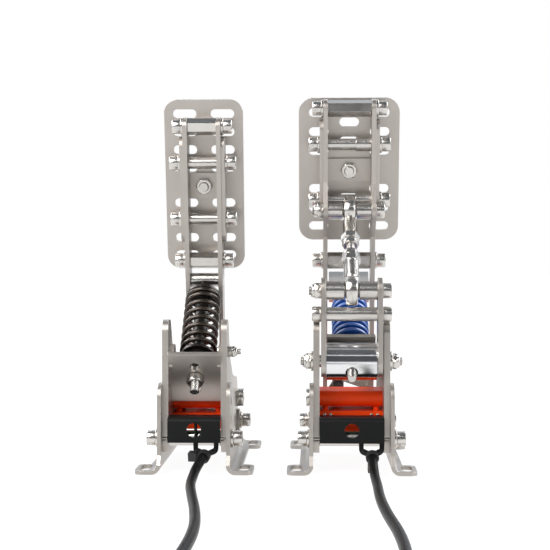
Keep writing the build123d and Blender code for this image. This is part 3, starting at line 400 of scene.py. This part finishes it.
def hexNut(bm, place, nut):  # with a nylon ring's rounded collar where it locks
    flats, height = nut["flats"], nut["height"]
    corner = flats * cornerShare
    rings = [(0, flats * 0.47), (0.1, flats * 0.5), (0.55, corner, flats)]
    if nut.get("locks"):
        body = height * 0.66
        rings += [
            (body - 0.5, corner, flats), (body, flats * 0.49), (body + 0.1, flats * 0.45),
            (height - 0.9, flats * 0.45), (height - 0.25, flats * 0.41), (height, flats * 0.37),
            (height, nut["bore"] + 0.25), (height - 0.6, nut["bore"] + 0.1),
        ]
    else:
        rings += [
            (height - 0.55, corner, flats), (height - 0.1, flats * 0.5), (height, flats * 0.47),
            (height, nut["bore"] + 0.4), (height - 0.5, nut["bore"]),
        ]
    loft(bm, place, rings, 48)


def finishPiece(name, bm, body, look, nodes=(), crease=34):
    for face in bm.faces:
        face.smooth = True
    for edge in bm.edges:
        if len(edge.link_faces) == 2 and edge.calc_face_angle(0) > math.radians(crease):
            edge.smooth = False
    mesh = bpy.data.meshes.new(name)
    bm.to_mesh(mesh)
    bm.free()
    mesh.materials.append(look)
    piece = bpy.data.objects.new(name, mesh)
    bpy.context.scene.collection.objects.link(piece)
    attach(piece, body)
    if nodes:
        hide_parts(*nodes)
    return piece


# What both pedals share; a point is y and z, as spot takes them
leanTurn = math.radians(12.5)
pivot = (109, 38)


def onArm(height, forward=0.0):  # a point measured along the leaning arms from the pivot
    return (
        pivot[0] - height * math.sin(leanTurn) + forward * math.cos(leanTurn),
        pivot[1] + height * math.cos(leanTurn) + forward * math.sin(leanTurn),
    )


def sideways(pedalX, point, side):  # looking out of the pedal's left (-1) or right (1) side
    return lineUp(spot(pedalX, 0, *point), (side, 0, 0))


m6 = {"thread": 3.0, "shank": 2.95, "clear": 3.1, "sides": 40}
m6Screw = {
    "radius": 3.0, "head": 6.0, "headRadius": 5.0, "socket": 5.0, "deep": 3.0,
    "washer": 1.6, "washerRadius": 6.0,
}
m6Bare = {**m6Screw, "washer": 0.0}
m6Nut = {"flats": 10.0, "height": 5.0, "bore": 3.0}
m6Lock = {"flats": 10.0, "height": 6.5, "bore": 3.0, "locks": True}
m6ThinLock = {"flats": 10.0, "height": 5.0, "bore": 3.0, "locks": True}
m4Lock = {"flats": 7.0, "height": 4.0, "bore": 2.0, "locks": True}
pedals = {
    "throttle": {
        "x": throttleX, "gap": 34.0, "armGap": 20.0, "armLength": 201.8, "bolts": (131.1, 170.6),
        "web": 153.2, "barTwist": 102.5,
    },
    "brake": {
        "x": brakeX, "gap": 41.5, "armGap": 30.0, "armLength": 214.0, "bolts": (144.4, 183.3),
        "web": 164.0, "barTwist": 90.0,
    },
}


def smallScrew(bm, made):  # a round head inside the throttle's right side plate, its nut outside
    screw = {"point": (28, 77), "radius": 2.0, "inside": 2.5, "outside": 4.0, "end": 12.1, "pitch": 0.7}
    face = {"washer": 1.6, "washerRadius": 3.8}
    half = made["gap"] / 2
    place = sideways(made["x"], screw["point"], 1)
    loft(bm, place, (
        (half - 4.0, 1.0), (half - 3.9, 2.8), (half - 3.3, 3.6), (half - screw["inside"], 3.8),
        (half - screw["inside"], screw["radius"]),
    ))
    outside = shifted(place, half + screw["outside"])
    washer(bm, outside, face["washer"], face["washerRadius"], screw["radius"])
    hexNut(bm, shifted(outside, face["washer"]), m4Lock)
    start, end = half - screw["inside"], half + screw["end"]
    threaded(bm, place, start, end, screw["radius"], screw["pitch"])


def baseBolts(pedal, made):
    bolts = {"places": ((13, 22), (111, 21.5)), "outer": 5.0, "inner": 3.2, "sheets": 6.5, "bite": 10}
    bm = bmesh.new()
    half = made["gap"] / 2
    face = half + bolts["sheets"]
    for point in bolts["places"]:
        right = sideways(made["x"], point, 1)
        tube(bm, right, -half, half, bolts["outer"], bolts["inner"], m6["sides"])
        for side in (-1, 1):
            place = sideways(made["x"], point, side)
            capScrew(bm, shifted(place, face), m6Screw)
            threaded(bm, place, half - bolts["bite"], face + 1, m6["thread"])
    if pedal == "throttle":
        smallScrew(bm, made)
    nodes = [pedal + "_frame_fasteners"]
    finishPiece(pedal + "BaseBolts", bm, "frame", bright, nodes)


def pivotAxle(pedal, made):
    axle = {
        "radius": 4.0, "plates": 4, "washer": 0.0, "head": 5.5, "headRadius": 6.5, "socket": 5.0,
        "deep": 3.0,
    }
    bm = bmesh.new()
    half = made["gap"] / 2 + axle["plates"]
    rod(bm, sideways(made["x"], pivot, 1), -half, half, axle["radius"], m6["sides"])
    for side in (-1, 1):
        capScrew(bm, shifted(sideways(made["x"], pivot, side), half), axle)
    nodes = [pedal + "_pivot_axle"]
    finishPiece(pedal + "PivotAxle", bm, "frame", bright, nodes)


def crossBars(pedal, made):
    bars = {"flats": 10.0, "low": 101.4, "drop": 6.0, "arm": 3}
    bm = bmesh.new()
    half = made["armGap"] / 2
    flats = bars["flats"]
    corner = flats * cornerShare
    for height in (bars["low"], made["armLength"] - bars["drop"]):
        point = onArm(height)
        place = lineUp(spot(made["x"], 0, *point), (1, 0, 0), made["barTwist"])
        loft(bm, place, (
            (-half, flats * 0.46), (-half + 0.3, corner, flats), (half - 0.3, corner, flats),
            (half, flats * 0.46),
        ), 48)
        for side in (-1, 1):
            capScrew(bm, shifted(sideways(made["x"], point, side), half + bars["arm"]), m6Screw)
    nodes = [pedal + "_arm_spacers"]
    finishPiece(pedal + "CrossBars", bm, pedal + "_pedal", bright, nodes)


def crossPlate(made):  # low between the brake's arms, open where the black ring turns
    plate = {
        "forward": 5.0, "low": 4.0, "thick": 3.0, "tall": 32.0, "ring": -7.0, "notch": 4.1,
        "open": 10.2, "rounding": 0.3,
    }
    half = made["armGap"] / 2
    left, right = plate["ring"] - plate["notch"], plate["ring"] + plate["notch"]
    step = plate["open"] - plate["low"]
    outline = (
        (-half, 0), (left, 0), (left, step), (right, step), (right, 0), (half, 0),
        (half, plate["tall"]), (-half, plate["tall"]),
    )
    bm = bmesh.new()
    corners = [bm.verts.new((x * mm, 0, z * mm)) for x, z in outline]
    face = bmesh.ops.contextual_create(bm, geom=corners)["faces"]
    raised = bmesh.ops.extrude_face_region(bm, geom=face)["geom"]
    raised = [v for v in raised if isinstance(v, bmesh.types.BMVert)]
    bmesh.ops.translate(bm, verts=raised, vec=(0, plate["thick"] * mm, 0))
    bmesh.ops.recalc_face_normals(bm, faces=bm.faces)
    bmesh.ops.bevel(
        bm, geom=bm.edges[:], offset=plate["rounding"] * mm, segments=2, profile=0.5,
        affect="EDGES", material=-1,
    )
    point = onArm(plate["low"], plate["forward"])
    place = Matrix.Translation(spot(made["x"], 0, *point)) @ Matrix.Rotation(leanTurn, 4, "X")
    bmesh.ops.transform(bm, matrix=place, verts=bm.verts)
    finishPiece("brakeCrossPlate", bm, "brake_pedal", blasted)


def plateBolts(pedal, made):
    bolts = {"outer": 4.0, "sleeve": 4.8, "sleeveShare": 0.36, "ear": 2.5, "arm": 3.0}
    screw = {"forward": 11.9, "end": -10.5, "web": 2.5, "plate": 3.0, "socket": 4.0}
    bm = bmesh.new()
    half = made["armGap"] / 2
    for height in made["bolts"]:
        point = onArm(height)
        right = sideways(made["x"], point, 1)
        tube(bm, right, -half, half, bolts["outer"], m6["clear"])
        if pedal == "brake":
            start = half - made["armGap"] * bolts["sleeveShare"]
            tube(bm, right, start, half, bolts["sleeve"], bolts["outer"])
        for side in (-1, 1):
            place = sideways(made["x"], point, side)
            capScrew(bm, shifted(place, half + bolts["arm"] + bolts["ear"]), m6Screw)
    point = onArm(made["web"], screw["forward"])
    forward = lineUp(spot(made["x"], 0, *point), (0, math.cos(leanTurn), math.sin(leanTurn)))
    threaded(bm, forward, screw["end"], screw["plate"], m6["thread"])
    hexNut(bm, shifted(forward, -screw["web"]) @ turnedRound, m6Nut)
    loft(bm, forward, (
        (screw["plate"], 4.6), (3.3, 5.0), (4.0, 4.9), (5.0, 4.2), (5.5, 3.2), (5.6, 2.6),
        (5.3, 2.35, screw["socket"]), (3.9, 2.35, screw["socket"]), (3.5, 0.4),
    ), 48)
    nodes = [pedal + "_plate_fasteners"]
    finishPiece(pedal + "PlateBolts", bm, pedal + "_pedal", bright, nodes)


for pedal, made in pedals.items():
    baseBolts(pedal, made)
    pivotAxle(pedal, made)
    crossBars(pedal, made)
    plateBolts(pedal, made)
crossPlate(pedals["brake"])
print("fasteners are in")


# Springs
def woundSpring(name, spring, place, body, look, node):
    # A ring of wire is spun half a turn at a time, with closed coils at both ends
    bm = bmesh.new()
    wide, high = spring["wide"], spring["high"]
    radius = spring["outer"] - wide / 2
    halves = 2 * spring["coils"]
    closed = (high + spring["endGap"]) / 2
    steps = [closed if i in (0, 1, halves - 2, halves - 1) else 0 for i in range(halves)]
    openStep = (spring["length"] - high - sum(steps)) / steps.count(0)
    steps = [step or openStep for step in steps]
    ring = bmesh.ops.create_circle(bm, segments=spring["sides"], radius=1.0)["verts"]
    for vertex in ring:
        x, y, _ = vertex.co
        if spring.get("squared"):
            x = math.copysign(abs(x) ** spring["squared"], x)
            y = math.copysign(abs(y) ** spring["squared"], y)
        vertex.co = ((radius + x * wide / 2) * mm, 0, (y * high / 2 + high / 2) * mm)
    geometry = list(ring) + list({e for v in ring for e in v.link_edges})
    for rise in steps:
        out = bmesh.ops.spin(
            bm, geom=geometry, cent=(0, 0, 0), axis=(0, 0, 1),
            dvec=(0, 0, rise * mm / spring["steps"]), angle=math.pi, steps=spring["steps"],
            use_duplicate=False,
        )
        geometry = out["geom_last"]
    last = [v for v in geometry if isinstance(v, bmesh.types.BMVert)]
    for end in (ring, last):
        bmesh.ops.contextual_create(bm, geom=end)
    bmesh.ops.recalc_face_normals(bm, faces=bm.faces)
    bmesh.ops.transform(bm, matrix=place, verts=bm.verts)
    piece = finishPiece(name, bm, body, look, [node], 60)
    axis = place.to_3x3() @ Vector((0, 0, 1))
    anchor = place @ Vector((0, 0, spring["length"] * mm))
    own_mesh(piece)


def lineFrom(pedalX, start, end):
    origin = spot(pedalX, 0, *start)
    return lineUp(origin, spot(pedalX, 0, *end) - origin)


rodHole = (20.4, 61.4)
rockerAxis = (20, 71.5)
trunnionPoint = onArm(87.1)
blockPoint = onArm(82.2)
throttleLine = lineFrom(throttleX, rodHole, trunnionPoint)
brakeLine = lineFrom(brakeX, rockerAxis, blockPoint)
throttleLength = math.dist(rodHole, trunnionPoint)
brakeLength = math.dist(rockerAxis, blockPoint)
throttleWire = {
    "outer": 12.5, "wide": 3.0, "high": 3.0, "length": 55.38, "coils": 8, "endGap": 0.8,
    "sides": 12, "steps": 20, "seat": 19.0, "keep": 0.703,
}
brakeWire = {
    "outer": 12.5, "wide": 4.6, "high": 2.6, "length": 46.0, "coils": 8, "endGap": 0.8,
    "sides": 16, "steps": 20, "squared": 0.32, "seat": 15.6, "keep": 0.838,
}
woundSpring(
    "throttleSpring", throttleWire, shifted(throttleLine, throttleWire["seat"]),
    "throttle_rod", darkSpring, "throttle_spring",
)
woundSpring(
    "brakeSpring", brakeWire, shifted(brakeLine, brakeWire["seat"]),
    "brake_rod", blueSpring, "brake_spring",
)
print("springs are wound")


# Rods of the springs
def throttleSpringRod():
    tail = {"nut": 1.8, "end": 14.0, "low": -2.0, "shown": 16.0}
    bm = bmesh.new()
    threaded(bm, throttleLine @ turnedRound, 1.0, tail["end"], m6["thread"])
    rod(bm, throttleLine, tail["low"], tail["shown"], m6["shank"])
    hexNut(bm, shifted(throttleLine, -tail["nut"]) @ turnedRound, m6Nut)
    nodes = ["throttle_spring_rod"]
    finishPiece("throttleSpringRod", bm, "throttle_rod", bright, nodes)


def throttleSpringGuide():  # dark-coloured, with the collar that the spring's upper end bears on
    guide = {"low": 15.5, "sleeve": 37.5, "around": 5.0, "collar": 74.68, "thick": 3.0, "radius": 11.5}
    bm = bmesh.new()
    low, high = guide["collar"], guide["collar"] + guide["thick"]
    wide, narrow = guide["radius"], guide["around"]
    rod(bm, throttleLine, guide["low"], throttleLength, m6["shank"])
    loft(bm, throttleLine, (
        (guide["sleeve"], narrow - 0.8), (guide["sleeve"] + 0.8, narrow), (low, narrow),
        (low, wide - 0.4), (low + 0.4, wide), (high - 0.6, wide), (high, wide - 0.6),
        (high, narrow + 0.4), (high + 2.2, narrow - 0.4), (high + 2.5, narrow - 1.0),
    ), 48)
    finishPiece("throttleSpringGuide", bm, "throttle_rod", guideDark)


def brakeSpringRod():
    steel = {"tail": 18.9, "collar": 61.9, "radius": 11.5, "block": 18.0, "elastomer": 9.0}
    bm = bmesh.new()
    front = brakeLength + steel["block"] / 2
    low = steel["collar"]
    high = brakeLength - steel["block"] / 2 - steel["elastomer"]
    wide = steel["radius"]
    threaded(bm, brakeLine @ turnedRound, 4.0, steel["tail"], m6["thread"])
    rod(bm, brakeLine, -5.0, low + 1, m6["shank"])
    rod(bm, brakeLine, high - 1, front + 2, m6["shank"])
    threaded(bm, brakeLine, front + 1.0, front + 8.0, m6["thread"])
    loft(bm, brakeLine, (
        (low, 3.0), (low, wide - 0.5), (low + 0.5, wide), (high - 0.5, wide), (high, wide - 0.5),
        (high, 3.0),
    ), 48)
    hexNut(bm, shifted(brakeLine, front), m6Nut)
    nodes = ["brake_spring_rod"]
    finishPiece("brakeSpringRod", bm, "brake_rod", bright, nodes)


throttleSpringRod()
throttleSpringGuide()
brakeSpringRod()


# Rocker shafts and the turnbuckle
linkEye = (66, 171)
rockerEye = (12, 117.5)


def crossShaft(bm, point, half, face):  # tubes on both sides of a rod end, and the bolt through
    shaft = {"ballHalf": 4.8, "radius": 6.0, "tail": 8.0}
    right = sideways(brakeX, point, 1)
    left = sideways(brakeX, point, -1)
    for place in (right, left):
        tube(bm, place, shaft["ballHalf"], half, shaft["radius"], m6["clear"], m6["sides"])
    rod(bm, right, -face - 1, face, m6["shank"])
    capScrew(bm, shifted(right, face), m6Bare)
    hexNut(bm, shifted(left, face), m6Lock)
    threaded(bm, left, face, face + shaft["tail"], m6["thread"])


def rockerShafts():
    rocker = {"half": 16.7, "plate": 3, "bar": (10.5, 102.5), "barRadius": 4.5}
    bm = bmesh.new()
    half = rocker["half"]
    face = half + rocker["plate"]
    crossShaft(bm, rockerEye, half, face)
    right = sideways(brakeX, rocker["bar"], 1)
    tube(bm, right, -half, half, rocker["barRadius"], m6["clear"], m6["sides"])
    for side in (-1, 1):
        capScrew(bm, shifted(sideways(brakeX, rocker["bar"], side), face), m6Bare)
    nodes = ["brake_rocker_shafts"]
    finishPiece("rockerShafts", bm, "brake_rocker", bright, nodes)


def upperShaft():
    arms = {"half": 15.0, "face": 18.0}
    bm = bmesh.new()
    crossShaft(bm, linkEye, arms["half"], arms["face"])
    finishPiece("upperShaft", bm, "brake_pedal", bright, ["brake_link_shaft"])


def stubAxles():
    stub = {"inner": 8.9, "radius": 4.0, "face": 24.75, "washer": 1.6, "washerRadius": 6.5, "tail": 8.3}
    bm = bmesh.new()
    face = stub["face"]
    for side in (-1, 1):
        place = sideways(brakeX, rockerAxis, side)
        loft(bm, place, (
            (stub["inner"], stub["radius"] - 0.4), (stub["inner"] + 0.4, stub["radius"]),
            (face, stub["radius"]),
        ), m6["sides"])
        washer(bm, shifted(place, face), stub["washer"], stub["washerRadius"], m6["thread"])
        hexNut(bm, shifted(place, face + stub["washer"]), m6ThinLock)
        threaded(bm, place, face, face + stub["tail"], m6["thread"])
    finishPiece("stubAxles", bm, "frame", bright, ["brake_rocker_axles"])


turnbuckleDown = lineFrom(brakeX, linkEye, rockerEye)
turnbuckleUp = lineFrom(brakeX, rockerEye, linkEye)
rodEnd = {"eye": 10.0, "half": 3.75, "shank": 5.0, "length": 30.0, "collar": 5.0, "flats": 11.0}


def rodEnds():  # an eye and its ball, then a shank with a hexagonal collar
    upper = (linkEye, turnbuckleDown, 3.05)
    lower = (rockerEye, turnbuckleUp, 3.4)
    bm = bmesh.new()
    h, r = rodEnd["half"], rodEnd["eye"]
    tip, flats = rodEnd["length"], rodEnd["flats"]
    neck = tip - rodEnd["collar"]
    corner = flats * cornerShare
    for point, along, bore in (upper, lower):
        place = sideways(brakeX, point, 1)
        loft(bm, place, (
            (-h, 6.9), (-h, r - 1.4), (-h + 0.35, r - 0.7), (-h * 0.55, r - 0.1), (0, r),
            (h * 0.55, r - 0.1), (h - 0.35, r - 0.7), (h, r - 1.4), (h, 6.9), (h - 0.8, 6.35),
            (0, 6.2), (-h + 0.8, 6.35),
        ), 48, hollow=True)
        loft(bm, place, (
            (-4.5, bore), (-4.5, 4.2), (-4.2, 4.6), (-3.2, 5.4), (-1.8, 6.0), (0, 6.18),
            (1.8, 6.0), (3.2, 5.4), (4.2, 4.6), (4.5, 4.2), (4.5, bore),
        ), 40, hollow=True)
        loft(bm, along, (
            (8.4, 3.4), (9.5, 4.4), (11.0, rodEnd["shank"]), (neck - 0.6, rodEnd["shank"]),
            (neck, 5.2), (neck + 0.3, corner, flats), (tip - 0.5, corner, flats),
            (tip, flats * 0.47), (tip, 3.1), (tip - 1.5, 3.0),
        ), 48)
    finishPiece("rodEnds", bm, "brake_link", bright, ["brake_rod_ends"])


def linkStud():
    bm = bmesh.new()
    buried = rodEnd["length"] - 5.0
    end = math.dist(linkEye, rockerEye) - buried
    threaded(bm, turnbuckleDown, buried, end, m6["thread"], tip=False)
    for along in (turnbuckleDown, turnbuckleUp):
        hexNut(bm, shifted(along, rodEnd["length"]), m6Nut)
    finishPiece("linkStud", bm, "brake_link", bright, ["brake_link_stud"])


rockerShafts()
upperShaft()
stubAxles()
rodEnds()
linkStud()
print("linkage is in")


# Small screws on the load cells' lower strips
def cellScrews():
    screw = {"radius": 1.15, "drop": 2.3, "inset": (3.4, 7.4), "socket": 0.9}
    strips = {"throttle": (33.5, 35.5), "brake": (26.0, 38.0)}
    r, across = screw["radius"], screw["socket"]
    bm = bmesh.new()
    for pedal, (rear, top) in strips.items():
        half = pedals[pedal]["gap"] / 2
        for inset in screw["inset"]:
            for side in (-1, 1):
                x = side * (half - inset)
                origin = spot(pedals[pedal]["x"], x, rear, top - screw["drop"])
                loft(bm, lineUp(origin, (0, -1, 0)), (
                    (-0.3, r), (0.3, r), (0.6, r * 0.85), (0.75, r * 0.6), (0.72, 0.55, across),
                    (0.3, 0.55, across), (0.2, 0.1),
                ), 24)
    finishPiece("cellScrews", bm, "frame", bright)


cellScrews()


# Cables
cable = {
    "radius": 0.003, "outer": 0.0395, "pitch": 0.0078, "layer": 0.0069, "turns": 2, "perTurn": 16,
    "lead": 0.006, "length": 1.18,
}
throttleRoute = (
    (7.7, 3, 13.2), (6.2, -6, 11.2), (3.2, -16, 6.5), (2.6, -28, 3.8), (3.2, -52, 3.2),
    (7.6, -86, 3.1), (13.6, -128, 3.0), (18.0, -176, 3.1), (17.0, -228, 3.0), (13.0, -270, 3.0),
    (13.0, -298, 3.0),
)
brakeRoute = (
    (12.6, 3, 13.2), (12.8, -6, 11.2), (13.0, -17, 6.5), (13.2, -29, 3.8), (13.6, -54, 3.2),
    (13.0, -90, 3.1), (14.6, -134, 3.0), (18.4, -182, 3.0), (18.6, -234, 3.1), (13.0, -276, 3.0),
    (13.0, -304, 3.0),
)


def coilPoints(end):  # turns inwards on the floor, then outwards again on top of them
    middle = end + Vector((-cable["outer"], -cable["lead"], 0))
    inwards = cable["turns"] * cable["perTurn"]
    ramp = cable["perTurn"] // 2
    points = []
    for step in range(2 * inwards + ramp + 1):
        turn = step / cable["perTurn"]
        if step <= inwards:
            radius, rise = cable["outer"] - cable["pitch"] * turn, 0.0
        elif step <= inwards + ramp:
            radius = cable["outer"] - cable["pitch"] * cable["turns"]
            rise = cable["layer"] * (0.5 - 0.5 * math.cos(math.pi * (step - inwards) / ramp))
        else:
            radius = cable["outer"] - cable["pitch"] * (2 * cable["turns"] + 0.5 - turn)
            rise = cable["layer"]
        angle = -math.tau * turn
        points.append(middle + Vector((radius * math.cos(angle), radius * math.sin(angle), rise)))
    last = points[-1] + Vector((0, cable["lead"], 0))
    return points + [last]


def roundLine(name, places, radius, fineness, capped):
    data = bpy.data.curves.new(name, "CURVE")
    data.dimensions = "3D"
    data.bevel_depth = radius
    data.bevel_resolution = fineness
    data.use_fill_caps = capped
    data.resolution_u = 8
    line = data.splines.new("NURBS")
    line.points.add(len(places) - 1)
    for point, place in zip(line.points, places):
        point.co = (*place, 1)
    line.order_u = 3
    line.use_endpoint_u = True
    return bpy.data.objects.new(name, data)


def layCable(pedal, route):
    points = [spot(pedals[pedal]["x"], *point) for point in route]
    whole = points + coilPoints(points[-1])
    piece = roundLine(pedal + "Cable", whole, cable["radius"], 5, True)
    piece.data.materials.append(jacket)
    bpy.context.scene.collection.objects.link(piece)
    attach(piece, "frame")
    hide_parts(pedal + "_cable", pedal + "_cable_coil")


def cellLeads(pedal, mouth):  # from under the cover round into the cable's mouth, on both sides
    lead = {"radius": 1.6, "line": (
        (0.8, -4.0, -1.6), (1.2, -0.6, -0.3), (3.6, 1.8, 0.3), (6.5, 3.6, 1.3), (6.6, 3.9, 5.0),
        (6.6, 3.9, 9.5),
    )}
    pedalX = pedals[pedal]["x"]
    bm = bmesh.new()
    for side in (-1, 1):
        places = []
        for x, y, z in lead["line"]:
            places.append(spot(pedalX, mouth[0] + side * x, mouth[1] + y, mouth[2] + z))
        helper = roundLine("lead", places, lead["radius"] * mm, 4, False)
        bm.from_mesh(bpy.data.meshes.new_from_object(helper))
        bpy.data.objects.remove(helper)
    bmesh.ops.holes_fill(bm, edges=[e for e in bm.edges if len(e.link_faces) == 1])
    bmesh.ops.recalc_face_normals(bm, faces=bm.faces)
    finishPiece(pedal + "Leads", bm, "frame", jacket)


layCable("throttle", throttleRoute)
layCable("brake", brakeRoute)
cellLeads("throttle", throttleRoute[0])
cellLeads("brake", brakeRoute[0])
print("cables are laid")


# Floor, world and lamps
def whiteFloor():  # white for the camera, with the shadow near the pedals, and pale cloth for the light
    floor = {
        "size": 9.0, "drop": 0.0003, "colour": (0.86, 0.86, 0.86), "own": 0.86, "glow": 1.10,
        "near": 0.5, "fade": 1.2,
    }
    paint = Paint(bpy.data.materials.new("whiteFloor"))
    rays = paint.node("ShaderNodeLightPath", out="Is Camera Ray")
    settings = {"operation": "LENGTH"}
    reach = paint.node("ShaderNodeVectorMath", settings, {0: paint.place}, out="Value")
    far = ((reach - floor["near"]) * floor["fade"]).held() * (1 - floor["own"])
    seen = (rays + rays.beside("Is Glossy Ray")).held() + rays.beside("Is Transmission Ray")
    share = seen.held() * (far + floor["own"])
    glow = paint.node("ShaderNodeEmission", {}, {"Color": (1, 1, 1), "Strength": floor["glow"]})
    cloth = paint.node("ShaderNodeBsdfDiffuse", {}, {"Color": floor["colour"]})
    mixed = paint.node("ShaderNodeMixShader", {}, {0: share, 1: cloth, 2: glow})
    paint.give(paint.tree.nodes["Material Output"].inputs["Surface"], mixed)
    bm = bmesh.new()
    bmesh.ops.create_grid(bm, x_segments=1, y_segments=1, size=floor["size"])
    bmesh.ops.translate(bm, verts=bm.verts, vec=(0, 0, -floor["drop"]))
    mesh = bpy.data.meshes.new("floor")
    bm.to_mesh(mesh)
    bm.free()
    mesh.materials.append(paint.owner)
    ground = bpy.data.objects.new("floor", mesh)
    bpy.context.scene.collection.objects.link(ground)


def studioWorld():  # white for the camera; for the light a dim room, paler beyond the pedals
    room = {
        "near": ((0.0, 0.15), (0.10, 0.09), (0.50, 0.09), (0.78, 0.09), (1.0, 0.15)),
        "far": ((0.0, 0.75), (0.14, 0.50), (0.40, 0.65), (0.78, 0.85), (1.0, 0.15)),
        "cool": (0.93, 1.0, 1.08), "turn": (-0.2, 0.6),
    }
    world = bpy.data.worlds.new("studio")
    bpy.context.scene.world = world
    paint = Paint(world, "Generated")
    height = paint.node("ShaderNodeSeparateXYZ", {}, {0: paint.place}, out="Z")
    domes = []
    for key in ("near", "far"):
        stops = [(at, [level * share for share in room["cool"]]) for at, level in room[key]]
        domes.append(paint.node("ShaderNodeValToRGB", {"stops": stops}, {0: height}, out="Color"))
    start, end = room["turn"]
    turn = paint.node("ShaderNodeMapRange", {}, {0: height.beside("Y"), 1: start, 2: end})
    rays = paint.node("ShaderNodeLightPath", out="Is Camera Ray")
    sky = paint.blend(rays, paint.blend(turn, *domes), (1, 1, 1))
    back = paint.tree.nodes["Background"]
    paint.give(back.inputs["Color"], sky)
    paint.give(back.inputs["Strength"], 1.0)


def softLamp(name, place, aim, size, power, colour=(1, 1, 1)):
    data = bpy.data.lights.new(name, "AREA")
    data.shape = "RECTANGLE"
    data.size, data.size_y = size
    data.energy = power
    data.color = colour
    lamp = bpy.data.objects.new(name, data)
    bpy.context.scene.collection.objects.link(lamp)
    lamp.location = place
    lamp.rotation_euler = (Vector(aim) - Vector(place)).to_track_quat("-Z", "Y").to_euler()


whiteFloor()
studioWorld()
softLamp("keyLamp", (-0.75, -0.95, 1.05), (-0.05, 0, 0.1), (1.1, 1.1), 29, (1, 0.975, 0.95))
softLamp("stripLamp", (0.0, -1.0, 0.86), (0, 0, 0.1), (1.8, 0.035), 0.55)
softLamp("fillLamp", (1.1, -0.5, 0.6), (0, 0, 0.1), (0.7, 0.9), 10, (0.97, 0.98, 1))
softLamp("frontStripLamp", (0.0, 1.1, 0.7), (0, 0, 0.12), (1.8, 0.06), 1.2)
for side in (-1, 1):
    softLamp("frontLamp", (side * 1.0, 0.75, 1.05), (0, 0, 0.12), (0.9, 0.9), 17)
print("studio is lit")
